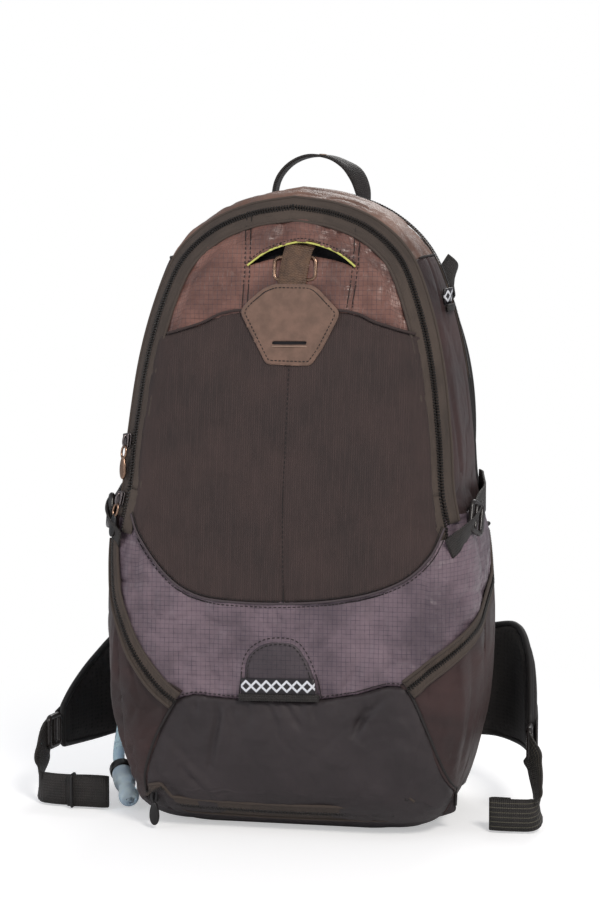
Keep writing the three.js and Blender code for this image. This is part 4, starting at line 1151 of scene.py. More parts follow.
BASE_FOLDS = [
    ([(-49, 101), (-47, 90), (-50, 74), (-54, 50)], 2.4, -3.6),
    ([(-42, 100), (-42, 80), (-46, 62)], 4, 1.4), ([(-65, 102), (-63, 92)], 2.0, -2.2),
    ([(-24, 102), (-24, 82)], 2.4, -1.8), ([(-8, 102), (-2, 85)], 2.0, -2.6),
    ([(5, 103), (15, 83)], 2.0, -2.6), ([(64, 103), (54, 80)], 2.4, -2.4),
    ([(82, 114), (63, 94), (54, 76)], 2.8, -3.0), ([(38, 104), (36, 92)], 2.2, -1.6),
    ([(-70, 86), (-64, 76)], 2.6, -1.6), ([(-90, 72), (-62, 40), (-44, 22)], 4, 1.8),
    ([(-86, 66), (-70, 44), (-52, 26)], 3, -1.8), ([(-88, 77), (-74, 60), (-58, 44)], 4, -1.6),
    ([(-98, 48), (-84, 32), (-66, 20)], 3.5, -2.0), ([(112, 46), (104, 30), (84, 20)], 5, -1.4),
    ([(-36, 99), (-34, 86)], 2, -1.4), ([(24, 103), (27, 90)], 2, -1.4),
    ([(70, 60), (96, 72), (108, 76)], 7, 1.2), ([(-20, 60), (10, 50), (40, 56)], 12, 0.8),
]


def front_relief(folds, scale, depth, seed):
    def relief(flat):
        swell = noise(flat, scale * 2.2, seed) * depth * 0.8
        small = creases(flat, scale * 0.5, seed + 21, 4) * depth * 0.5
        tiny = creases(flat, scale * 0.3, seed + 33, 3) * depth * 0.3
        fine = noise(flat, 0.006, seed + 9) * depth * 0.12
        return (swell + small + tiny + fine + creases(flat, scale, seed + 2, 4) * depth
                + strokes(flat, folds))
    return relief


def gathers(line_mm, depth, reach, pitch, seed):
    """Small tucks square to a seam, dying away from it."""
    line = smooth_line(in_mm(line_mm), 2 * MM)
    length = np.linalg.norm(np.diff(line, axis=0), axis=1).sum()

    def relief(flat):
        away, share = distance_to(flat, line)
        at = share * length
        seeds = np.stack([at, np.zeros(len(at))], 1)
        wobble = noise(seeds, pitch * 2.5, seed) * pitch
        strength = 0.35 + 0.65 * np.clip(noise(seeds, pitch * 4, seed + 3), 0, 1)
        return depth * strength * np.sin(2 * np.pi * (at + wobble) / pitch) * np.exp(-away / reach)
    return relief


def added(*reliefs):
    return lambda flat: sum(r(flat) for r in reliefs)


def line_of(points):
    return smooth_line(in_mm(points), 2 * MM)


def band_relief():
    """The lower ripstop band's folds, calm under the half-moon tab."""
    folded = added(front_relief(BAND_FOLDS, 0.026, 1.9 * MM, 51),
                   gathers(BAND_LOW, 0.9 * MM, 9 * MM, 11 * MM, 8))

    def relief(flat):
        near = smoothstep(38 * MM, 28 * MM, np.linalg.norm(flat - in_mm((1, 122)), axis=1))
        return folded(flat) * (1 - 0.75 * near)
    return relief


BAND_RELIEF = band_relief()


def build_flap():
    skin_outline = inset_loop(ZIP_INSET + 3.2 * MM, HINGE + 1.5 * MM, FLAP_HALF)
    arc = line_of(SLIT)
    sagged = arc[::-1] - [[0, 1]] * np.sin(np.linspace(0, np.pi, len(arc)))[:, None] ** 0.8 * 9 * MM
    hole = np.concatenate([arc, sagged[1:-1]])

    def slit(flat):
        away, share = distance_to(flat, arc)
        below = inside(flat, np.concatenate([arc, [[0.05, 0.37], [-0.031, 0.37]]]))
        along = np.sin(np.pi * np.clip(share, 0, 1))
        lip = 2.2 * MM * np.exp(-(away / 4e-3) ** 2) * along
        dip = -4.5 * MM * np.exp(-(away / 1.3e-2) ** 2) * along
        return np.where(below, dip, lip)

    seam_lines = [line_of([(-32, 460), (-31, 425), (-32, 388)]),
                  line_of([(50, 452), (50, 422), (46, 388)])]

    def sewn(flat):
        return sum(-1.0 * MM * np.exp(-(distance_to(flat, l)[0] / 1.6e-3) ** 2) for l in seam_lines)

    relief = added(front_relief(UPPER_FOLDS, 0.024, 1.5 * MM, 11), slit, sewn,
                   gathers([(104, 372), (108, 400), (98, 432), (70, 452), (30, 460), (-30, 460),
                            (-70, 452), (-98, 432), (-104, 400)], 0.6 * MM, 7 * MM, 9 * MM, 4))

    def calmed(flat):
        """Less relief behind the mesh and under the tool patch."""
        edge_z = np.interp(flat[:, 0], *in_mm(MESH_TOP)[::-1].T)
        behind = smoothstep(1 * MM, -7 * MM, flat[:, 1] - edge_z)
        near = smoothstep(48 * MM, 38 * MM, np.linalg.norm(flat - in_mm((3, 378)), axis=1))
        return relief(flat) * (1 - 0.9 * np.maximum(behind, near)) - 2.2 * MM * behind

    flap = patch("flap_ripstop", skin_outline, UPPER, calmed, out=1.0 * MM, holes=[hole],
                 spacing=1.9 * MM)
    attach(flap, "flap", "ripstop_upper", "front_flap")
    # a near-black sheet under the slit: painted shade inside the opening
    lining = np.concatenate([arc + [0, 3 * MM], (arc - [0, 16 * MM])[::-1]])
    deep = patch("slit_shade_lining", lining, SLOT_SHADE, None, out=-5.5 * MM, puff=0, sink=0, spacing=3 * MM)
    attach(deep, "flap", "ripstop_upper")
    points, _ = field(resample(arc, 1.5 * MM), 3.4 * MM)
    piping = tube("slit_piping", points, 0.75 * MM, LIME, 8)
    attach(piping, "flap", "reflective")
    rows = []
    for k, line in enumerate(seam_lines):
        for side in (-1, 1):
            row = offset_line(line, side * 1.9 * MM)
            rows.append(seam(f"flap_stitch_{k}{side}", row, out=2.7 * MM, relief=calmed))
    rows.append(seam("slit_stitch", offset_line(arc, 2.2 * MM), out=2.8 * MM,
                     length=1.8 * MM, pitch=2.8 * MM, relief=calmed))
    attach(join("flap_stitches", rows), "flap", "ripstop_upper")


def blended(obj, slot, *nodes):
    attach(obj, None, slot, *nodes)
    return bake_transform(obj)


def build_mesh_pocket():
    low = line_of(MESH_LOW)
    top = line_of(MESH_TOP)
    right = inset_loop(ZIP_INSET + 5.5 * MM, HINGE - 4 * MM)
    right = right[(right[:, 1] < 0.368)]
    outline = np.concatenate([low, right[right[:, 0] > 0], top, right[right[:, 0] < 0]])
    outline = tidy_loop(outline)
    dart = line_of([(2, 384), (1, 300), (0, 250), (1, 200), (2, 177)])
    folds = [([(60, 300), (90, 260), (112, 246)], 9, 1.6),
             ([(70, 280), (100, 246), (116, 240)], 5, -1.6),
             ([(96, 246), (104, 222)], 4, -1.8), ([(-60, 370), (-40, 372), (-34, 352)], 9, -1.4),
             ([(-104, 330), (-98, 300)], 8, -1.0), ([(-100, 236), (-84, 214)], 6, -0.9)]

    def sewn(flat):
        return -0.9 * MM * np.exp(-(distance_to(flat, dart)[0] / 2e-3) ** 2)

    relief = added(front_relief(folds, 0.045, 0.9 * MM, 31), sewn)
    net = patch("mesh_pocket_knit", outline, NET, relief, out=2.9 * MM, puff=1.0 * MM,
                sink=1.3 * MM, spacing=2.4 * MM)
    blended(net, "mesh", "mesh_pocket")
    rows = [seam("mesh_low_stitch", offset_line(low, -2.6 * MM), out=2.3 * MM,
                 relief=lambda line: BAND_RELIEF(spread_out(line))),
            seam("mesh_low_stitch2", offset_line(low, 1.8 * MM), out=3.1 * MM,
                 relief=lambda line: relief(line) * 0.55),
            seam("mesh_dart", offset_line(dart, 1.2 * MM), out=4.1 * MM, relief=relief)]
    blended(join("mesh_pocket_stitches", rows), "mesh")
    points, _ = field(resample(low, 2 * MM), 2.5 * MM)
    blended(tube("mesh_pocket_binding", points, 0.9 * MM, LOWER_EDGE, 8), "mesh")
    points, _ = field(resample(offset_line(top, -0.2 * MM), 2 * MM)[5:-5], 3.4 * MM)
    hem = tube("mesh_pocket_hem", points, 1.0 * MM, NET, 8)
    attach(hem, "flap", "mesh")


def tidy_loop(points):
    """Drops points that double back on the one before."""
    keep = [points[0]]
    for p in points[1:]:
        if np.linalg.norm(p - keep[-1]) > 0.6 * MM:
            keep.append(p)
    return np.array(keep)


LOWER_EDGE = moulded("seam_binding", linear(74, 64, 68), 0.7)


def build_lower_front():
    left, right = line_of(LEFT_ZIP), line_of(RIGHT_ZIP)
    bottom = line_of(BAND_LOW)
    zip_half = 3.5 * MM
    band = np.concatenate([
        offset_line(bottom, 0.2 * MM), offset_line(right[::-1], zip_half),
        in_mm([(222, 236), (190, 242), (150, 244), (122, 244)]),
        offset_line(line_of(MESH_LOW)[::-1][3:-3], -7 * MM),
        in_mm([(-120, 243), (-134, 243), (-138, 232)]), offset_line(left, zip_half)])
    cloth = patch("lower_ripstop_band", tidy_loop(band), LOWER, BAND_RELIEF, out=0.9 * MM,
                  spacing=2.0 * MM, surface=spread)
    attach(cloth, "root", "ripstop_lower", "lower_front_panel")
    seam_right, seam_left = line_of(RIGHT_SEAM), line_of(LEFT_SEAM)
    foot = line_of([(124, 20), (122, 14), (100, 8), (62, 6), (0, 5.6), (-62, 6), (-92, 8),
                    (-103, 14), (-104, 20)])
    base = np.concatenate([seam_right, foot[1:-1], seam_left[::-1], bottom[1:-1]])
    relief = added(front_relief(BASE_FOLDS, 0.034, 1.3 * MM, 71),
                   gathers(BAND_LOW, 1.5 * MM, 14 * MM, 13 * MM, 21))
    cloth = patch("bottom_front_fabric", tidy_loop(base), BASE, relief, out=1.0 * MM,
                  spacing=2.1 * MM, puff=2.4 * MM)
    attach(cloth, "root", "plain_fabric", "base_panel")
    rows = [seam("band_stitch", offset_line(bottom, 2.4 * MM), out=1.3 * MM,
                 relief=lambda line: BAND_RELIEF(line) * 0.62)]
    attach(join("lower_band_stitches", rows), "root", "ripstop_lower")


def front_zip(name, line_mm, node):
    """A short zip laid over the front and the edge: two tapes with a coil between."""
    line = line_of(line_mm)
    pieces = []
    for side in (-1, 1):
        columns = []
        for across in np.linspace(0.4, 6.2, 5):
            columns.append(offset_line(line, side * across * MM))
        flat = np.stack(columns, 1).reshape(-1, 2)
        points, _ = spread(flat, 2.2 * MM)
        faces = grid_faces(len(line), 5)
        tape = make_object(f"{name}_tape{side}", points, faces, ZIP_TAPE, flat)
        pieces.append(fix_normals(thicken(tape, ZIP_THICK)))
        at = resample(offset_line(line, side * 0.8 * MM), TOOTH_PITCH)
        centre, up = spread(at, 3.1 * MM)
        along = unit(np.gradient(centre, axis=0))
        across = np.cross(up, along)
        pieces.append(bars(f"{name}_teeth{side}", centre + along * side * 0.5 * MM, across, along,
                           up, TOOTH, TEETH))
        edge = resample(offset_line(line, side * 6.4 * MM), 2 * MM)
        welt, _ = spread(edge, 2.2 * MM)
        pieces.append(tube(f"{name}_welt{side}", welt, 1.3 * MM, ZIP_TAPE, 8))
    attach(join(name, pieces), "root", "zip", node)


# ---- Walls: sides, top, back and underside -----------------------------------------------

BACK_SEAM_Q = WALL_ARC + 4 * MM
SIDE_FRONT_INSET = 11.5 * MM


def side_front_q(side, z):
    """Where the side panel begins at each height: at the lower seam and zip, then at the main
    zip above the fold."""
    zip_line_flat = line_of(RIGHT_ZIP if side > 0 else LEFT_ZIP)
    seam_flat = spread_out(line_of(RIGHT_SEAM if side > 0 else LEFT_SEAM))
    flat = np.concatenate([zip_line_flat, seam_flat[1:]])
    flat = flat[np.argsort(flat[:, 1])]
    lower = np.interp(z, flat[:, 1], spread_q(flat))
    share = smoothstep(0.219, 0.247, z)
    return lower + (q_of_inset(SIDE_FRONT_INSET) - lower) * share


def side_relief(seed, side):
    def relief(s, q):
        z = loop_at(s)[0][:, 1]
        flat = np.stack([q, z], 1)
        swell = noise(flat, (0.05, 0.12), seed) * 1.6 * MM
        folds = creases(flat, (0.03, 0.11), seed + 3, 4) * 2.2 * MM
        small = creases(flat, (0.018, 0.04), seed + 7, 4) * 0.8 * MM
        low = smoothstep(0.23, 0.15, z)
        bulge = low * 3.0 * MM * np.exp(-((q - 0.045) / 0.06) ** 2) * smoothstep(0.01, 0.06, z)
        edge = smoothstep(0.0, 0.012, BACK_SEAM_Q - q)
        front = smoothstep(-0.002, 0.014, q - side_front_q(side, z))
        edge = edge * (1 - (1 - front) * smoothstep(0.26, 0.22, z))
        crumple = strokes(flat, SIDE_FOLDS)
        return (swell + folds + small + crumple) * (0.12 + 0.88 * edge) + bulge
    return relief


SIDE_FOLDS = [
    ([(-45, 60), (-34, 54), (-26, 62)], 2.4, -2.2), ([(-40, 46), (-30, 40), (-18, 44)], 2.6, -2.2),
    ([(-40, 150), (-30, 110), (-22, 60)], 4.5, 2.4),
    ([(-26, 170), (-14, 120), (-10, 50)], 4.5, -2.4),
    ([(-10, 160), (4, 110), (8, 50)], 4, 2.2), ([(-58, 92), (-48, 80), (-40, 84)], 3, -1.8),
    ([(-30, 34), (-10, 26), (10, 30)], 3, -2.0), ([(-34, 330), (-28, 290), (-24, 250)], 5, 1.8),
    ([(-20, 340), (-12, 290), (-10, 246)], 4, -1.8),
]


def wall_line(z_low, z_high, side):
    a, b = side_s(z_low, side), side_s(z_high, side)
    return np.linspace(min(a, b), max(a, b), int(abs(b - a) / (3 * MM)) + 1)


TOP_SEAM_Z = 0.430
BASE_SEAM_Z = 0.014


def build_walls():
    for side, word in SIDES:
        line = wall_line(BASE_SEAM_Z, TOP_SEAM_Z, side)
        z = loop_at(line)[0][:, 1]
        low = side_front_q(side, z) - 6.5 * MM * smoothstep(0.222, 0.2, z)
        panel = wall(f"side_fabric_{word}", line, low, BACK_SEAM_Q, side_relief(3 + side, side),
                     SIDE, step=2.6 * MM, out=0.3 * MM)
        attach(panel, "root", "side_fabric", f"side_panel_{word}")
    s0, s1 = side_s(TOP_SEAM_Z - 1 * MM), side_s(TOP_SEAM_Z - 1 * MM, -1)
    line = np.linspace(s0, s1, int((s1 - s0) / 0.0026))

    def top_relief(s, q):
        flat = np.stack([s, q], 1)
        zip_q = q_of_y(REAR_ZIP_Y, 0.45)
        dip = -1.4 * MM * np.exp(-((q - zip_q) / 5e-3) ** 2)
        return (noise(flat, (0.05, 0.03), 91) * 1.2 * MM + dip
                + creases(flat, (0.03, 0.016), 93, 3) * 1.8 * MM
                + creases(flat, (0.012, 0.02), 97, 4) * 0.7 * MM)

    # the top's material carries painted light from above
    top = wall("top_fabric", line, q_of_inset(SIDE_FRONT_INSET), BACK_SEAM_Q, top_relief, LIT_TOP,
               step=2.6 * MM, out=-0.4 * MM)
    attach(top, "root", "ripstop_upper", "top_panel")
    s_base = side_s(BASE_SEAM_Z + 1 * MM)
    line = np.linspace(-s_base, s_base, int(2 * s_base / 0.004))

    def base_relief(s, q):
        flat = np.stack([s, q], 1)
        return creases(flat, 0.03, 101, 3) * 0.5 * MM * (np.abs(s) > 0.07)

    under = wall("underside_fabric", line, q_of_inset(14 * MM), BACK_SEAM_Q, base_relief, BASE,
                 step=4 * MM)
    attach(under, "root", "plain_fabric", "base_panel")
    build_back_panel()
    build_wall_seams()


def build_back_panel():
    """The wearer's side: one sheet over the back, turned in round its edge."""
    count = 260
    s = np.linspace(0, _loop_s[-1], count, endpoint=False)
    rings = []
    q_rings = np.linspace(BACK_SEAM_Q - 1 * MM, WALL_ARC + BACK_ARC, 9)
    for q in q_rings:
        points, _ = skin(s, q, 0.4 * MM)
        rings.append(points)
    centre = np.array([0, BACK_FACE, HEIGHT * 0.45])
    last = rings[-1]
    for share in np.linspace(0.05, 0.97, 22):
        ring = last + (centre - last) * share
        ring[:, 1] = BACK_FACE + 0.4 * MM
        rings.append(ring)
    points = np.concatenate(rings)
    flat = points[:, [0, 2]]
    soft = smoothstep(0.0, 0.03, distance_to(flat, _loop[::4], closed=True)[0])
    points[:, 1] += (noise(flat, 0.05, 111) * 1.0 * MM + creases(flat, 0.03, 113) * 0.8 * MM) * soft
    faces = grid_faces(len(rings), count, closed=True)
    faces.append(tuple((len(rings) - 1) * count + j for j in range(count)))
    back = make_object("back_fabric", points, faces, BACK, flat)
    fix_normals(back)
    attach(thicken(back, 1.4 * MM), "root", "plain_fabric", "back_panel")


def build_wall_seams():
    """Piping round the back seam, over the top seam, and round the base."""
    s = np.linspace(0, _loop_s[-1], 420, endpoint=False)
    points, _ = skin(s, BACK_SEAM_Q, 0.8 * MM)
    points[:, 2] = np.maximum(points[:, 2], 1.6 * MM)
    attach(tube("back_seam_piping", points, 1.5 * MM, BINDING, 8, closed=True), "root", "webbing")
    for side, word in SIDES:
        q = np.linspace(q_of_inset(SIDE_FRONT_INSET - 5 * MM), BACK_SEAM_Q, 60)
        points, _ = skin(np.full(60, side_s(TOP_SEAM_Z, side)), q, 0.5 * MM)
        attach(tube(f"top_seam_{word}", points, 0.8 * MM, THREAD, 8), "root", "side_fabric")
    for k, line in enumerate((RIGHT_SEAM, LEFT_SEAM)):
        points, _ = field(resample(line_of(line), 2 * MM), 0.6 * MM)
        attach(tube(f"lower_seam_{'rl'[k]}", points, 1.1 * MM, THREAD, 8), "root", "plain_fabric")


def build_side_pockets():
    for side, word in SIDES:
        lo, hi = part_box(f"side_pocket_{word}")
        line = wall_line(lo.z + 2 * MM, hi.z, side)
        z = loop_at(line)[0][:, 1]
        q_front, q_back = q_of_y(lo.y + 4 * MM, z), q_of_y(hi.y, z)
        q_front = np.maximum(q_front + 0.018 * (1 - smoothstep(lo.z, hi.z, z)),
                             side_front_q(side, z) + 9 * MM)

        def relief(s, q, lo=lo, hi=hi, side=side):
            height = loop_at(s)[0][:, 1]
            share = np.clip((height - lo.z) / (hi.z - lo.z), 0, 1)
            front = q_of_y(lo.y + 4 * MM, height) + 0.018 * (1 - smoothstep(lo.z, hi.z, height))
            front = np.maximum(front, side_front_q(side, height) + 9 * MM)
            back = q_of_y(hi.y, height)
            across = np.clip((q - front) / (back - front), 0, 1)
            full = (np.sin(np.pi * across) ** 0.45
                    * np.sin(np.pi * np.clip(share, 0.02, 0.985)) ** 0.3)
            flat = np.stack([q, height], 1)
            tucks = np.sin(q / 0.0065 * 2 * np.pi) * 0.7 * MM * smoothstep(0.8, 1.0, share)
            folds = creases(flat, (0.025, 0.06), 130 + side, 3) * 1.6 * MM
            return 3.6 * MM * full + (tucks + folds) * np.sin(np.pi * across) ** 0.5

        panel = wall(f"side_pocket_fabric_{word}", line, q_front, q_back, relief, SIDE,
                     step=2.4 * MM, out=0.9 * MM)
        attach(panel, "root", "side_fabric", f"side_pocket_{word}")
        end = -1 if side > 0 else 0
        q = np.linspace(q_front[end], q_back[end], 50)
        s = np.full(50, side_s(hi.z, side))
        lift = 1.6 * MM + relief(s - side * 1 * MM, q)
        points, _ = skin(s, q, lift)
        hem = tube(f"side_pocket_hem_{word}", points, 1.7 * MM, BINDING, 8)
        attach(hem, "root", "webbing")


# ---- Zips --------------------------------------------------------------------------------

def build_zips():
    flap_tape = (ZIP_INSET + 0.5 * MM, ZIP_INSET + 9.0 * MM)
    bag_tape = (ZIP_INSET - 0.5 * MM, ZIP_INSET - 7.5 * MM)
    s0, s1 = side_s(HINGE + 1.5 * MM), side_s(HINGE + 1.5 * MM, -1)
    bag = zip_line("main_zip_bag_tape", (s0, s1), ZIP_INSET - 1.0 * MM, bag_tape, -1, 1.7 * MM)
    attach(bag, "root", "zip", "main_zip_bag_side")
    s0, s1 = side_s(HINGE + 22 * MM), side_s(HINGE + 22 * MM, -1)
    flap = zip_line("main_zip_flap_tape", (s0, s1), ZIP_INSET + 1.0 * MM, flap_tape, 1, 1.8 * MM)
    attach(flap, "flap", "zip", "main_zip_flap_side")
    for inset, name, body in ((ZIP_INSET - 7.6 * MM, "main_zip_outer_welt", "root"),
                              (ZIP_INSET + 9.2 * MM, "main_zip_inner_welt", "flap")):
        z_low = HINGE + (2 if body == "root" else 22) * MM
        s = np.linspace(side_s(z_low), side_s(z_low, -1), 420)
        points, _ = skin(s, q_of_inset(inset), 1.6 * MM)
        attach(tube(name, points, 1.2 * MM, ZIP_TAPE, 8), body, "zip")
    for side, word in SIDES:
        s0, s1 = side_s(HINGE - 9 * MM, side), side_s(HINGE + 22.5 * MM, side)
        end = zip_line(f"main_zip_end_{word}", (s0, s1), ZIP_INSET + 1.0 * MM, flap_tape, 1,
                       1.6 * MM)
        attach(end, "root", "zip")
        s = np.sort(np.linspace(side_s(HINGE - 26 * MM, side), side_s(HINGE + 34 * MM, side), 16))
        gusset = wall(f"zip_corner_lining_{word}", s, q_of_inset(44 * MM), q_of_inset(3 * MM), None,
                      SIDE, step=3 * MM, out=-1.2 * MM)
        attach(gusset, "root", "side_fabric")
    build_rear_zip()
    front_zip("lower_zip_coil_right", RIGHT_ZIP, "lower_zip_right")
    front_zip("lower_zip_coil_left", LEFT_ZIP, "lower_zip_left")
    build_bottom_zip()


def build_rear_zip():
    left_end, right_end = 0.288, 0.337
    s = np.linspace(side_s(right_end), side_s(left_end, -1), 240)
    z = loop_at(s)[0][:, 1]
    q = q_of_y(REAR_ZIP_Y, z)
    pieces = []
    for side in (-1, 1):
        tape = wall(f"rear_zip_tape{side}", s, q + side * 0.4 * MM + min(side, 0) * 4.6 * MM,
                    q + side * 0.4 * MM + max(side, 0) * 4.6 * MM, None, ZIP_TAPE, step=1.5 * MM,
                    out=1.4 * MM, thick=ZIP_THICK)
        at = s[0] + (s[-1] - s[0]) * row_shares(int((s[-1] - s[0]) / TOOTH_PITCH), side)
        q_at = q_of_y(REAR_ZIP_Y, loop_at(at)[0][:, 1]) + side * 0.8 * MM
        centre, up = skin(at, q_at, 2.1 * MM)
        ahead, _ = skin(at + 1e-3, q_at, 2.1 * MM)
        along = unit(ahead - centre)
        teeth = bars(f"rear_zip_teeth{side}", centre, np.cross(up, along), along, up, TOOTH, TEETH)
        pieces += [tape, teeth]
    attach(join("rear_zip_coil", pieces), "root", "zip", "rear_zip")


def build_bottom_zip():
    lo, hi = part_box("bottom_zip")
    middle = (lo.z + hi.z) / 2
    line = [(x, middle / MM + 0.00035 * x * x)
            for x in np.linspace(lo.x / MM + 3, hi.x / MM - 14, 9)]
    front_zip("bottom_zip_coil", line, "bottom_zip")


# ---- Pieces on the front -----------------------------------------------------------------

def soft_loop(points_mm, passes=4, spacing=1.5 * MM):
    """A closed outline with its corners eased."""
    loop = even_loop(in_mm(points_mm), spacing)
    for _ in range(passes):
        loop = (np.roll(loop, 1, 0) + 2 * loop + np.roll(loop, -1, 0)) / 4
    return loop


def front_path(path_mm):
    """Points on the front and the direction across them, from (x, z, height off the bag)."""
    path = in_mm(path_mm)
    points, normals = field(path[:, :2], path[:, 2])
    tangent = unit(np.gradient(points, axis=0))
    return points, unit(np.cross(tangent, normals))


def build_tool_patch():
    outline = soft_loop([(-18, 404), (-9, 407.5), (17, 407), (23, 404), (40, 387), (38.5, 382),
                         (27, 359), (19, 347.5), (-14, 348.5), (-23, 365), (-35, 387), (-30, 394)])
    slot = soft_loop([(-10, 363), (16, 363), (16, 365.6), (-10, 365.6)], 1, 0.9 * MM)

    def relief(flat):
        return noise(flat, 0.02, 141) * 0.5 * MM + noise(flat, 0.006, 142) * 0.12 * MM

    plate = patch("tool_patch_suede", outline, PATCH, relief, out=5.0 * MM, holes=[slot],
                  spacing=1.7 * MM, thick=1.5 * MM, sink=0.5 * MM, puff=0.4 * MM, reach=3 * MM)
    attach(plate, "flap", "suede", "tool_patch")
    # a near-black sheet behind the slot: painted shade inside it
    behind = patch("tool_patch_slot", in_mm([(-14, 360), (20, 360), (20, 369), (-14, 369)]), SLOT_SHADE,
                   None, out=4.2 * MM, spacing=3 * MM, thick=0.5 * MM, sink=0, puff=0)
    attach(behind, "flap", "ripstop_upper")
    rows = [seam("patch_border", closed(offset_line(closed(outline), -3.0 * MM)[:-1]),
                 out=5.5 * MM, length=2.0 * MM, pitch=3.0 * MM)]
    points, _ = field(np.linspace(in_mm((-10, 361.6)), in_mm((16, 361.6)), 20), 5.5 * MM)
    rows.append(tube("patch_slot_edge", points, 0.45 * MM, PALE_THREAD, 6))
    attach(join("tool_patch_stitches", rows), "flap", "suede")


def build_tool_loop():
    points, sides = front_path([(9, 442, -4), (8.5, 438, -2), (7.5, 433.5, 2.8), (6, 426, 4.4),
                                (4.5, 417, 4.4), (3.5, 409, 3.6), (3, 400, 2.8)])
    web = strap("tool_loop_webbing", points, sides, 21 * MM, 1.7 * MM, BROWN_WEB)
    attach(web, "flap", "webbing", "tool_webbing")
    loop = rounded_box(15.4 * MM, 8.4 * MM, 4 * MM, 7) + in_mm((5, 419))
    points, _ = field(even_loop(loop, 1.6 * MM), 2.3 * MM)
    attach(tube("tool_ring_bar", points, 1.3 * MM, BRONZE, 12, closed=True), "ring", "bronze",
           "tool_ring")


def build_lower_tab():
    arch = line_of([(-27.5, 108), (-26, 120), (-24.6, 132), (-20, 140.6), (-10, 146.7), (1, 148.2),
                    (11, 146.7), (17.2, 140.6), (22.7, 130), (27, 118), (29, 108)])
    outline = np.concatenate([arch, in_mm([(20, 106.6), (-18, 106.6)])])
    tab = patch("half_moon_tab", outline, TAB, None, out=3.0 * MM, spacing=1.8 * MM,
                sink=0.8 * MM, puff=0.8 * MM, reach=4 * MM)
    attach(tab, "root", "ripstop_lower", "lower_tab")
    rows = [seam("tab_stitch_outer", offset_line(arch, 2.4 * MM), out=2.9 * MM),
            seam("tab_stitch_inner", offset_line(arch, -2.2 * MM), out=3.9 * MM)]
    attach(join("half_moon_stitches", rows), "root", "ripstop_lower")
    points, sides = front_path([(x, 115.4 + 0.02 * x, 4.6) for x in (-28, -14, 0, 14, 27)])
    tape = strap("half_moon_tape", points, sides, 11.5 * MM, 1.1 * MM, TAPE)
    attach(tape, "root", "reflective")
    points, sides = front_path([(x, 107 + 0.02 * x, 4.2) for x in (-30, -14, 0, 14, 30)])
    band = strap("half_moon_band", points, sides, 5.6 * MM, 1.4 * MM, WEB)
    attach(band, "root", "webbing")


# ---- Sliders and pulls -------------------------------------------------------------------

def plate_on(name, outline, place, along, out, thickness, material, bevel):
    return rounded_plate(name, outline, place, np.cross(out, along), out, thickness, material,
                         bevel)


def oval(name, centre, along, across, half_along, half_across, radius, material):
    angle = np.linspace(0, 2 * math.pi, 28, endpoint=False)
    points = (np.asarray(centre) + np.outer(np.cos(angle) * half_along, along)
              + np.outer(np.sin(angle) * half_across, across))
    return tube(name, points, radius, material, 10, closed=True)


def teardrop(length, width):
    """Outline of a pull hanging from the origin."""
    angle = np.linspace(0, 2 * math.pi, 36, endpoint=False)
    return np.stack([width / 2 * np.sin(angle) * (0.55 + 0.45 * np.sin(angle / 2)),
                     -length / 2 * (1 - np.cos(angle))], 1)


def slider(name, place, along, out, material):
    """A zip slider: two plates and the bridge that its pull hangs from."""
    shape = [(-4.4, 5.8), (4.4, 5.8), (3.0, -5.8), (-3.0, -5.8)]
    outline = soft_loop(shape, 3, 0.9 * MM)
    low = plate_on(name, outline, place, along, out, 1.3 * MM, material, 0.4 * MM)
    high = plate_on(name + "_top", outline * 0.94, place + out * 1.9 * MM, along, out, 1.4 * MM,
                    material, 0.5 * MM)
    arc = np.linspace(0, math.pi, 10)
    bridge = (place + out * 2.9 * MM + np.outer(np.cos(arc) * 4.4 * MM, along)
              + np.outer(np.sin(arc) * 2.2 * MM, out))
    return join(name, [low, high, tube(name + "_bridge", bridge, 0.9 * MM, material, 8)])


def zip_place(height, side, q, out):
    """A place on a side's zip with the directions up along it and out of the bag."""
    place, normal = skin(side_s(height, side), q, out)
    above, _ = skin(side_s(height + 5 * MM, side), q, out)
    below, _ = skin(side_s(height - 5 * MM, side), q, out)
    return place[0], unit(above[0] - below[0]), normal[0]


def build_main_sliders():
    for letter, pull_material in (("a", BRONZE), ("b", BLACK)):
        lo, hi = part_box(f"main_slider_{letter}")
        place, along, out = zip_place((lo.z + hi.z) / 2, -1, -0.53 * FRONT_ARC, 2.9 * MM)
        body = slider(f"zip_slider_{letter}", place, along, out, GUNMETAL)
        attach(body, f"slider_{letter}", "plastic", f"main_slider_{letter}")
        across = np.cross(out, along)
        hang = place + out * 3.4 * MM
        ring = oval(f"zip_pull_{letter}", hang - along * 8.6 * MM, along, across, 4.6 * MM,
                    3.0 * MM, 0.9 * MM, BRONZE)
        drop = plate_on(f"zip_pull_drop_{letter}", teardrop(17.5 * MM, 8.6 * MM),
                        hang - along * 11.4 * MM - out * 1.1 * MM, along, out, 2.3 * MM,
                        pull_material, 0.8 * MM)
        attach(join(f"zip_pull_{letter}", [ring, drop]), f"pull_{letter}", "plastic",
               f"main_pull_{letter}")


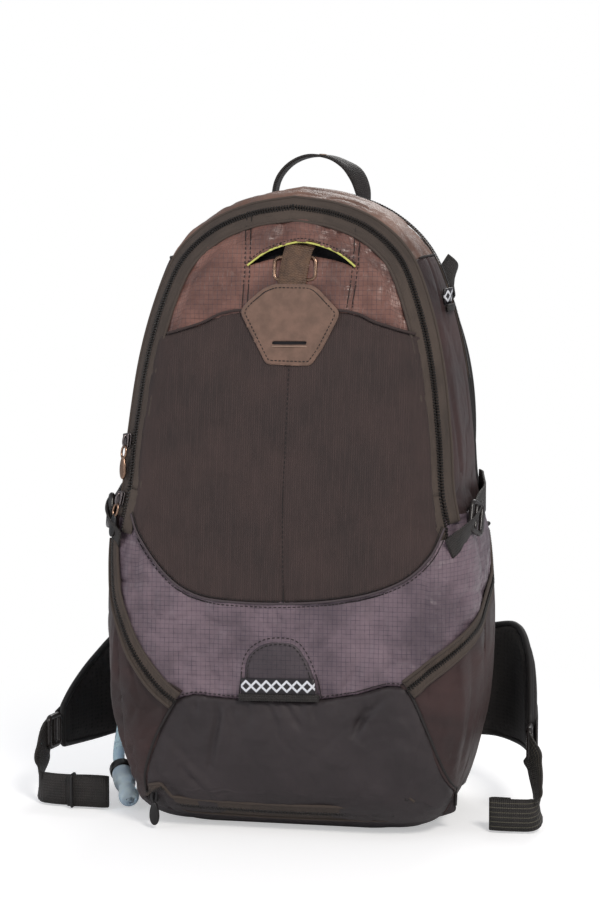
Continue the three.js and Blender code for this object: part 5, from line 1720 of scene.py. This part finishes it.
def build_rear_slider():
    out = unit(np.array([-1.0, 0.0, 0.06]))
    along = unit(np.array([0.06, 0.0, 1.0]))
    place = in_mm((-131.0, 14, 296.5))
    body = slider("rear_zip_slider_body", place, along, out, BLACK)
    across = np.cross(out, along)
    hang = place + out * 2.6 * MM
    ring = oval("rear_zip_ring", hang - along * 12.0 * MM, along, across, 7.0 * MM, 3.4 * MM,
                1.1 * MM, BLACK)
    pieces = [body, ring]
    for side in (-1, 1):
        line = [hang - along * (18 + 3 * k) * MM + across * side * (0.4 + 1.3 * math.sin(k * 0.55))
                * MM + out * 0.5 * MM for k in range(6)]
        pieces.append(tube(f"rear_zip_cord{side}", smooth_line(line, 1.5 * MM), 1.25 * MM, CORD))
    knot = hang - along * 33.5 * MM + out * 0.5 * MM
    profile = [(0.2, 0), (1.9, 0.12), (2.5, 0.5), (1.9, 0.88), (0.2, 1)]
    pieces.append(lathe("rear_zip_knot", catmull(profile, 4), knot + along * 3 * MM,
                        knot - along * 2 * MM, CORD, 12))
    attach(join("rear_zip_slider_and_pull", pieces), "rear_zip_slider", "plastic", "rear_slider")


def build_bottom_slider():
    out = unit(np.array([-0.35, -0.94, 0.0]))
    along = np.array([0.0, 0.0, 1.0])
    place = in_mm((-98.2, -82.6, 26.4))
    attach(slider("bottom_zip_slider_body", place, along, out, BLACK), "bottom_zip_slider",
           "plastic", "bottom_slider")
    hang = in_mm((-98.4, -83.2, 20.8))
    drop = plate_on("bottom_zip_drop", teardrop(18 * MM, 9.6 * MM), hang, along, out, 2.6 * MM,
                    BLACK, 0.9 * MM)
    attach(drop, "bottom_zip_pull", "plastic", "bottom_pull")


# ---- Straps on the sides and top ---------------------------------------------------------

def ladder_lock(name, place, across, out, half_across, half_along, bar=2.1 * MM):
    """A moulded frame with cross bars that webbing is laced through."""
    across, out = unit(np.asarray(across, float)), unit(np.asarray(out, float))
    across = unit(across - out * across.dot(out))
    along = np.cross(across, out)
    place = np.asarray(place, float) + out * bar

    def at(points):
        return place + np.outer(points[:, 0], across) + np.outer(points[:, 1], along)

    rim = even_loop(rounded_box(half_across - bar, half_along - bar, 3.4 * MM, 6), 1.6 * MM)
    pieces = [tube(name, at(rim), bar, LOCK, 10, closed=True)]
    for k, (share, lift) in enumerate(((-0.12, 0.2), (0.62, 0.6))):
        line = np.stack([np.linspace(-1, 1, 7) * (half_across - bar),
                         np.full(7, share * half_along)], 1)
        pieces.append(tube(f"{name}_bar{k}", at(line) + out * lift * MM, bar * 0.86, LOCK, 8))
    return join(name, pieces)


def mirror_line(points, side):
    return np.asarray(points, float) * [side, 1, 1]


def build_compression():
    for side, word in SIDES:
        place, _ = skin(side_s(0.237), -0.126 * FRONT_ARC, 3.2 * MM)
        lock = ladder_lock(f"compression_buckle_{word}", mirror_line(place[0], side),
                           (0.12 * side, 0.34, 0.93), (0.94 * side, -0.34, 0.1), 12.6 * MM,
                           10.6 * MM)
        attach(lock, "root", "plastic", f"compression_lock_{word}")
        turn = np.linspace(0.01, 0.97, 12)
        height = np.interp(turn, [0, 0.15, 1], [0.238, 0.243, 0.2545])
        lift = np.interp(turn, [0, 0.1, 0.25, 0.9, 1], [3.0, 3.2, 4.4, 4.4, 1.4]) * MM
        points, _ = skin(side_s(height), turn * WALL_ARC, lift)
        web = strap(f"compression_strap_{word}", mirror_line(points, side), Z_AXIS, 20 * MM,
                    1.6 * MM, WEB)
        attach(web, "root", "webbing", f"compression_webbing_{word}")
        q = np.array([0.006, -0.006, -0.018, -0.03, -0.042])
        height = np.array([0.241, 0.236, 0.231, 0.226, 0.220])
        lift = np.array([4.4, 4.6, 4.4, 4.2, 3.6]) * MM
        points, _ = skin(side_s(height), q, lift)
        tail = strap(f"compression_tail_{word}", mirror_line(points, side),
                     (0.35 * side, 0.2, 1.0), 17 * MM, 1.5 * MM, WEB)
        attach(tail, "root", "webbing")


def build_side_loop():
    y = in_mm(np.array([-29, -23, -16, -9]))
    points, _ = skin(np.full(4, side_s(0.399)), q_of_y(y, 0.399), in_mm(np.array([1.5, 4, 4, 1.5])))
    tape = strap("side_loop_tape", points, (0.1, 0, 1.0), 11.5 * MM, 1.5 * MM, TAPE)
    points, _ = skin(np.full(4, side_s(0.3905)), q_of_y(y, 0.39), in_mm(np.array([1.2, 3, 3, 1.2])))
    low = strap("side_loop_base", points, (0.1, 0, 1.0), 5.5 * MM, 1.8 * MM, WEB)
    attach(join("side_loop_tape", [tape, low]), "root", "reflective", "side_loop_right")


def build_handle():
    points = in_mm([(-31, 50, 464), (-33.5, 50, 478), (-30, 50, 492), (-20, 50, 503),
                    (-6, 50, 508.5),
                    (10, 50, 507.5), (22, 50, 502), (31, 50, 494), (36, 50, 483), (38, 50, 470),
                    (37, 49, 463)])
    sides = np.array([(0, 1, 0)] * 5 + [(0.05, 1, 0.1), (0.2, 1, 0.2), (0.55, 1, 0.3),
                                        (0.6, 1, 0.1), (0.25, 1, 0), (0, 1, 0)], float)
    web = strap("grab_loop_webbing", points, sides, 18 * MM, 2.0 * MM, WEB)
    attach(web, "handle", "webbing", "grab_handle")
    mark = strap("grab_loop_mark", in_mm([(3, 50, 509.4), (5.5, 50, 509.3), (8, 50, 509.0)]),
                 Y_AXIS, 12 * MM, 0.8 * MM, PALE_THREAD)
    attach(mark, "handle", "webbing")


# ---- The wearer's side -------------------------------------------------------------------

SIM_FRAMES = 20
VOXEL = 3.4 * MM
PRESSURE = 4.0


def triangulate(outline, spacing):
    """Even triangles inside a closed outline."""
    low, high = outline.min(0), outline.max(0)
    xs, zs = np.arange(low[0], high[0], spacing), np.arange(low[1], high[1], spacing * 0.866)
    grid = np.array([(x + (k % 2) * spacing / 2, z) for k, z in enumerate(zs) for x in xs])
    grid = grid[inside(grid, outline)]
    grid = grid[distance_to(grid, outline, closed=True)[0] > spacing * 0.55]
    flat = np.concatenate([outline, grid])
    edges = [(i, (i + 1) % len(outline)) for i in range(len(outline))]
    made = delaunay_2d_cdt([Vector(p) for p in flat], edges, [], 1, 1e-7)
    return np.array([tuple(v) for v in made[0]]), np.array([f for f in made[2] if len(f) == 3])


def pillow(name, outline, base_y, thickness, folds, seed):
    """A pad on a flat base: crowned, with its edges drawn in, and closed all round."""
    flat, faces = triangulate(outline, 3.2 * MM)
    away, _ = distance_to(flat, outline, closed=True)
    share = np.clip(away / (11 * MM), 0, 1)
    crown = thickness * (0.3 + 0.64 * np.sqrt(1 - (1 - share) ** 2))
    soft = noise(flat, 0.03, seed) * 0.5 * MM + creases(flat, 0.03, seed + 2) * 0.7 * MM
    crown = crown + (soft + strokes(flat, folds)) * smoothstep(0, 0.5, share)
    crown = np.clip(crown, 0.8 * MM, thickness + 0.6 * MM)
    count = len(flat)
    top = np.stack([flat[:, 0], base_y + crown, flat[:, 1]], 1)
    low = np.stack([flat[:, 0], np.full(count, base_y), flat[:, 1]], 1)
    seen = {}
    for a, b, c in faces:
        for edge in ((a, b), (b, c), (c, a)):
            seen[edge] = True
    rim = [(a, b) for a, b in seen if (b, a) not in seen]
    polygons = [tuple(f) for f in faces] + [tuple(v + count for v in f[::-1]) for f in faces]
    polygons += [(b, a, a + count, b + count) for a, b in rim]
    return fix_normals(make_object(name, np.concatenate([top, low]), polygons, PAD))


def inflated(obj, cap):
    """Blows a closed pad up a little as cloth, so that it creases where its seams hold it."""
    remesh = obj.modifiers.new("remesh", "REMESH")
    remesh.mode = "VOXEL"
    remesh.voxel_size = VOXEL
    remesh.use_smooth_shade = True
    apply_modifiers(obj)
    start = np.zeros(len(obj.data.vertices) * 3)
    obj.data.vertices.foreach_get("co", start)
    cloth = obj.modifiers.new("cloth", "CLOTH")
    cloth.settings.quality = 5
    cloth.settings.use_pressure = True
    cloth.settings.uniform_pressure_force = PRESSURE
    cloth.settings.effector_weights.gravity = 0
    cloth.point_cache.frame_start, cloth.point_cache.frame_end = 1, SIM_FRAMES
    for frame_number in range(1, SIM_FRAMES + 1):
        bpy.context.scene.frame_set(frame_number)
    apply_modifiers(obj)
    bpy.context.scene.frame_set(1)
    moved = np.zeros(len(start))
    obj.data.vertices.foreach_get("co", moved)
    step = (moved - start).reshape(-1, 3)
    size = np.linalg.norm(step, axis=1, keepdims=True)
    step = step * np.minimum(1, cap / np.maximum(size, 1e-9))
    obj.data.vertices.foreach_set("co", (start + step.ravel()))
    smoother = obj.modifiers.new("smooth", "SUBSURF")
    smoother.levels = smoother.render_levels = 1
    apply_modifiers(obj)
    obj.data.polygons.foreach_set("use_smooth", [True] * len(obj.data.polygons))
    return obj


def padded_band(name, centres, across, out, half_width, half_thick, material, seed, sides=32):
    """A padded strap or wing along a line, with a rounded section and closed ends."""
    centres = np.asarray(centres, float)
    across, out = (np.broadcast_to(way, centres.shape) for way in (across, out))
    count = len(centres)
    angle = np.linspace(0, 2 * math.pi, sides, endpoint=False)
    wide = np.sign(np.cos(angle)) * np.abs(np.cos(angle)) ** 0.55
    deep = np.sign(np.sin(angle)) * np.abs(np.sin(angle)) ** 0.75
    ends = np.sqrt(1 - (1 - np.clip(np.minimum(np.arange(count), count - 1 - np.arange(count)) / 4,
                                    0.06, 1)) ** 2)
    half_width = half_width * (0.6 + 0.4 * ends)
    half_thick = half_thick * ends
    verts = (centres[:, None] + across[:, None] * (half_width[:, None] * wide)[..., None]
             + out[:, None] * (half_thick[:, None] * deep)[..., None]).reshape(-1, 3)
    normal = unit((across[:, None] * (wide * 0.3)[None, :, None]
                   + out[:, None] * deep[None, :, None]).reshape(-1, 3))
    wave = (noise(verts, 0.022, seed) * 0.5 + noise(verts, 0.05, seed + 1) * 0.5) * MM
    verts = verts + normal * wave[:, None]
    faces = grid_faces(count, sides, closed=True, capped=True)
    return fix_normals(make_object(name, verts, faces, material))


BACK_PAD = [(16, 140), (68, 140), (76, 152), (78, 260), (71, 378), (58, 402), (24, 402), (16, 390)]
LUMBAR_PAD = [(-90, 42), (90, 42), (109, 54), (109, 116), (87, 128), (-87, 128), (-109, 116),
              (-109, 54)]


def build_back_pads():
    base = BACK_FACE + 0.4 * MM
    thick = PAD_FACE - BACK_FACE - 0.5 * MM

    def make(name, piping, node, outline, folds, seed):
        pad = pillow(name, outline, base, thick, folds, seed)
        attach(inflated(pad, 1.2 * MM), "root", "pad_mesh", node)
        line = np.stack([outline[:, 0], np.full(len(outline), base + 1.2 * MM), outline[:, 1]], 1)
        attach(tube(piping, line, 1.3 * MM, BINDING, 8, closed=True), "root", "webbing")

    channels = [([(8, z), (90, z - 10)], 3.2, -3.0) for z in (190, 240, 290, 340)]
    for side, word in SIDES:
        outline = soft_loop(BACK_PAD, 6, 2.4 * MM) * [side, 1]
        folds = [([(side * x, z) for x, z in line], w, h) for line, w, h in channels]
        make(f"back_pad_cushion_{word}", f"back_pad_piping_{word}", f"back_pad_{word}", outline,
             folds, 151 + side)
    outline = soft_loop(LUMBAR_PAD, 8, 2.4 * MM)
    folds = [([(x, 36), (x, 134)], 3.2, -3.0) for x in (-62, -22, 22, 62)]
    make("lumbar_cushion", "lumbar_piping", "lumbar_pad", outline, folds, 161)


SHOULDER_LINE = [(46, 434), (54, 416), (75, 386), (90, 342), (96, 292), (94, 230), (90, 198)]


def build_shoulder_straps():
    lo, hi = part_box("shoulder_pad_right")
    middle = (lo.y + hi.y) / 2
    line = resample(catmull(in_mm(SHOULDER_LINE)), 5 * MM)
    share = np.linspace(0, 1, len(line))
    half_width = (28.2 - 7 * share ** 2) * MM
    tangent = unit(np.gradient(line, axis=0))
    for side, word in SIDES:
        body = f"strap_{word}"
        centres = np.stack([line[:, 0] * side, np.full(len(line), middle), line[:, 1]], 1)
        across = np.stack([tangent[:, 1] * side, np.zeros(len(line)), -tangent[:, 0]], 1)
        pad = padded_band(f"shoulder_cushion_{word}", centres, across, Y_AXIS, half_width,
                          4.4 * MM, PAD, 171 + side)
        attach(inflated(pad, 1.0 * MM), body, "pad_mesh", f"shoulder_pad_{word}")
        left = centres - across * (half_width[:, None] - 1.6 * MM)
        right = centres + across * (half_width[:, None] - 1.6 * MM)
        rim = even_loop(np.concatenate([left[1:-1], right[::-1][1:-1]]), 3 * MM)
        attach(tube(f"shoulder_binding_{word}", rim, 2.4 * MM, BINDING, 8, closed=True), body,
               "webbing")
        face = centres + [0, 5.4 * MM, 0]
        pick = slice(3, len(line) - 1, 4)
        web = strap(f"shoulder_webbing_{word}", face[pick], across[pick], 20 * MM, 1.4 * MM, WEB)
        attach(web, body, "webbing")
        lock_lo, lock_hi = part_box(f"strap_lock_{word}")
        place = ((lock_lo.x + lock_hi.x) / 2, lock_lo.y, (lock_lo.z + lock_hi.z) / 2)
        lock = ladder_lock(f"shoulder_buckle_{word}", place, X_AXIS, Y_AXIS, 14 * MM, 13 * MM,
                           bar=2.3 * MM)
        attach(lock, body, "plastic", f"strap_lock_{word}")
        low = [(104.5, 77.6, 135), (101, 81, 143), (96, 86, 153), (91.5, 90, 162), (90, 91.4, 166)]
        tail = strap(f"lower_strap_webbing_{word}", mirror_line(in_mm(low), side),
                     (1.0, 0, 0.15 * side), 20 * MM, 1.6 * MM, WEB)
        attach(tail, "root", "webbing", f"lower_strap_{word}")
        lift = [(97, 68, 424), (104, 74, 417), (104, 82, 408), (97, 88.5, 401), (92, 91, 397)]
        lifter = strap(f"load_lifter_webbing_{word}", mirror_line(in_mm(lift), side),
                       (0.1 * side, 0, 1.0), 19 * MM, 1.6 * MM, WEB)
        attach(lifter, "root", "webbing", f"load_lifter_{word}")
        build_sternum(word)


def build_sternum(word):
    lo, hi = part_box(f"sternum_strap_{word}")
    body = f"sternum_{word}"
    middle = (lo.x + hi.x) / 2
    slider_z = hi.z - 6 * MM
    loop = ladder_lock(f"sternum_slider_{word}", (middle, lo.y, slider_z), (1, 0, 0), (0, 1, 0),
                       16.5 * MM, 6.2 * MM, bar=1.7 * MM)
    line = [(middle, lo.y + out * MM, slider_z + up * MM)
            for out, up in ((2.6, 2), (2.4, -20), (2.2, -40), (2.4, -62))]
    web = strap(f"sternum_webbing_{word}", line, X_AXIS, 16 * MM, 1.4 * MM, WEB)
    outline = soft_loop([(-9.5, 12), (9.5, 12), (9.5, 2), (7, -4), (8.5, -12), (3, -12), (2.4, -6),
                         (-2.4, -6), (-3, -12), (-8.5, -12), (-7, -4), (-9.5, 2)], 2, 0.9 * MM)
    prong = plate_on(f"sternum_buckle_{word}", outline,
                     np.array((middle, lo.y + 0.6 * MM, lo.z + 12 * MM)), np.array([0, 0, 1.0]),
                     np.array([0, 1.0, 0]), 5.6 * MM, BLACK, 1.2 * MM)
    attach(join(f"sternum_half_{word}", [loop, web, prong]), body, "plastic",
           f"sternum_strap_{word}")


# ---- Hip belt ----------------------------------------------------------------------------

LEFT_WING = [(-106, 91.1, 44, 128), (-140, 91.1, 44, 134), (-168, 82, 38, 126), (-188, 62, 34, 104),
             (-199, 38, 34, 84), (-203, 16, 36, 68)]
RIGHT_WING = [(106, 91.1, 44, 128), (138, 91.1, 44, 136), (159, 74, 42, 138), (170, 46, 42, 120),
              (174, 18, 44, 92), (175, 2, 46, 76)]


def build_hip_belt():
    for stations, word, side in ((LEFT_WING, "left", -1), (RIGHT_WING, "right", 1)):
        body = f"wing_{word}"
        line = resample(catmull(in_mm(stations)), 4 * MM)
        tangent = unit(np.gradient(line[:, :2], axis=0))
        out = np.stack([tangent[:, 1] * side, -tangent[:, 0] * side, np.zeros(len(line))], 1)
        middle = (line[:, 2] + line[:, 3]) / 2
        half = (line[:, 3] - line[:, 2]) / 2
        centres = np.stack([line[:, 0], line[:, 1], middle], 1)
        pad = padded_band(f"hip_wing_cushion_{word}", centres, Z_AXIS, out, half - 0.4 * MM,
                          3.9 * MM, PAD, 181 + side, 40)
        attach(inflated(pad, 1.0 * MM), body, "pad_mesh", f"hip_wing_{word}")
        top, low = (np.column_stack([line[:, :2], height])
                    for height in (line[:, 3] - 2.2 * MM, line[:, 2] + 2.2 * MM))
        rim = even_loop(np.concatenate([top[1:-1], low[::-1][1:-1]]), 3 * MM)
        attach(tube(f"hip_wing_binding_{word}", rim, 2.6 * MM, BINDING, 8, closed=True), body,
               "webbing")
        face = centres - out * 4.9 * MM
        face[:, 2] = np.linspace(middle[0], middle[-1], len(line))
        web = strap(f"hip_wing_webbing_{word}", face[4::4], Z_AXIS, 25 * MM, 1.5 * MM, WEB)
        attach(web, body, "webbing")
        lo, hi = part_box(f"hip_lock_{word}")
        along = unit(np.array([line[-1, 0] - line[-5, 0], line[-1, 1] - line[-5, 1], 0]))
        lock_out = np.cross(along, (0, 0, 1.0))
        place = np.array((lo + hi) / 2) - lock_out * 2.3 * MM
        lock = ladder_lock(f"hip_buckle_{word}", place, (0, 0, 1), lock_out, 14 * MM, 12 * MM,
                           bar=2.3 * MM)
        attach(lock, body, "plastic", f"hip_lock_{word}")
    build_hip_webbing()


def build_hip_webbing():
    x, y = -207.6, -9.0
    line = [(x + 1, y + 14, 51), (x - 0.6, y + 4, 50), (x - 1.5, y - 3, 40), (x - 2, y - 9, 24),
            (x + 1, y - 18, 15), (x + 10, y - 23, 14.2), (x + 26, y - 24.5, 14),
            (x + 44, y - 23, 14),
            (x + 56, y - 24, 14), (x + 58.5, y - 26.5, 14), (x + 54, y - 28, 14),
            (x + 40, y - 27.5, 14), (x + 26, y - 28, 14)]
    web = strap("hip_webbing_band_left", in_mm(line), Z_AXIS, 24.5 * MM, 1.5 * MM, WEB)
    keeper = in_mm([(x + 30, y - 21.6, 2), (x + 30, y - 30.4, 2), (x + 30, y - 30.4, 26.6),
                    (x + 30, y - 21.6, 26.6)])
    ring = tube("hip_keeper_left", even_loop(keeper, 2 * MM), 1.2 * MM, BLACK, 8, closed=True)
    attach(join("hip_webbing_band_left", [web, ring]), "wing_left", "webbing", "hip_webbing_left")
    x, y = 176.6, -23.4
    line = [(x - 1, y + 14, 60), (x, y + 3, 59), (x + 4, y - 3, 48), (x + 7, y - 9, 30),
            (x + 8.5, y - 16, 18), (x + 4, y - 22, 14.4), (x - 8, y - 24, 14), (x - 24, y - 24, 14),
            (x - 27.5, y - 22, 14), (x - 24, y - 19.6, 14), (x - 12, y - 20, 14)]
    web = strap("hip_webbing_band_right", in_mm(line), Z_AXIS, 24.5 * MM, 1.5 * MM,
                STRIPED)
    attach(web, "wing_right", "webbing", "hip_webbing_right")


# ---- Inside ------------------------------------------------------------------------------

def build_inside():
    lo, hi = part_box("frame_sheet")
    sheet = soft_loop([(-72, 34), (72, 34), (88, 50), (88, 362), (66, 408), (-66, 408), (-88, 362),
                       (-88, 50)], 3, 3 * MM)
    plate = rounded_plate("frame_sheet_plate", sheet, (0, lo.y, 0), (1, 0, 0), (0, 1, 0),
                          hi.y - lo.y, SHEET, 0.5 * MM)
    attach(plate, "root", "stiff_sheet", "frame_sheet")
    lo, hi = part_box("reservoir")
    body_y = hi.y - 11.6 * MM
    heights = np.linspace(lo.z + 2 * MM, hi.z - 1 * MM, 44)
    centres = np.stack([np.zeros(44), np.full(44, body_y), heights], 1)
    bladder = padded_band("reservoir_film", centres, X_AXIS, Y_AXIS, hi.x - 1 * MM, 9.8 * MM,
                          BLADDER, 191, 44)
    nozzle = lathe("reservoir_nozzle", [(6.4, 0), (7.4, 0.1), (7.4, 0.5), (5.6, 0.6), (5.4, 1)],
                   in_mm((-58, 46, 82)), in_mm((-58, 38.6, 82)), VALVE, 20)
    attach(join("reservoir_film", [bladder, nozzle]), "root", "bladder", "reservoir")
    lo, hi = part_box("reservoir_closure")
    bar = rounded_box(hi.x, (hi.z - lo.z) / 2, 5 * MM)
    bar = rounded_plate("reservoir_closure_bar", bar, (0, lo.y, (lo.z + hi.z) / 2), (1, 0, 0),
                        (0, 1, 0), hi.y - lo.y, VALVE, 1.5 * MM)
    attach(bar, "root", "hose", "reservoir_closure")
    lo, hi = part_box("reservoir_sleeve")
    path = resample([(hi.x, hi.y), (hi.x, lo.y + 4 * MM), (hi.x - 4 * MM, lo.y),
                     (lo.x + 4 * MM, lo.y), (lo.x, lo.y + 4 * MM), (lo.x, hi.y)], 4 * MM)
    rows = [np.stack([path[:, 0], np.full(len(path), hi.y), np.full(len(path), lo.z)], 1)]
    for z in np.linspace(lo.z, hi.z, 80):
        rows.append(np.stack([path[:, 0], path[:, 1], np.full(len(path), z)], 1))
    points = np.concatenate(rows)
    flat = points[:, [0, 2]]
    points[:, 1] += (np.clip(noise(flat, 0.05, 201), 0, 1) * 1.2 * MM
                     + np.sin(flat[:, 0] / 0.009) * 0.4 * MM * smoothstep(0.34, 0.39, flat[:, 1]))
    sleeve = make_object("reservoir_sleeve_cloth", points, grid_faces(len(rows), len(path)), LINING,
                         flat)
    thicken(sleeve, 0.8 * MM)
    attach(sleeve, "root", "side_fabric", "reservoir_sleeve")
    route = in_mm([(-58, 33.4, 75), (-60, 33.4, 112), (-66, 33.4, 180), (-70, 33.4, 290),
                   (-76, 34.4, 364), (-84, 39.4, 398)])
    attach(tube("hose_inside_tube", smooth_line(route, 4 * MM), HOSE_RADIUS, HOSE, 16), "root",
           "hose", "hose_inside")
    lo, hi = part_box("hose_port")
    hood = rounded_box((hi.x - lo.x) / 2, (hi.z - lo.z) / 2, 7 * MM, 7)
    hood = rounded_plate("hose_hood", hood, ((lo.x + hi.x) / 2, lo.y + 8 * MM, (lo.z + hi.z) / 2),
                         (1, 0, 0), (0, 1, 0), hi.y - lo.y - 8 * MM, BLACK, 3 * MM)
    attach(hood, "root", "plastic", "hose_port")


BUILDERS = [make_camera, make_stage, build_hose, build_flap, build_mesh_pocket,
            build_lower_front, build_walls, build_side_pockets, build_zips, build_tool_patch,
            build_tool_loop, build_lower_tab, build_main_sliders, build_rear_slider,
            build_bottom_slider, build_compression, build_side_loop, build_handle,
            build_back_pads, build_shoulder_straps, build_hip_belt, build_inside]
for build in BUILDERS:
    build()
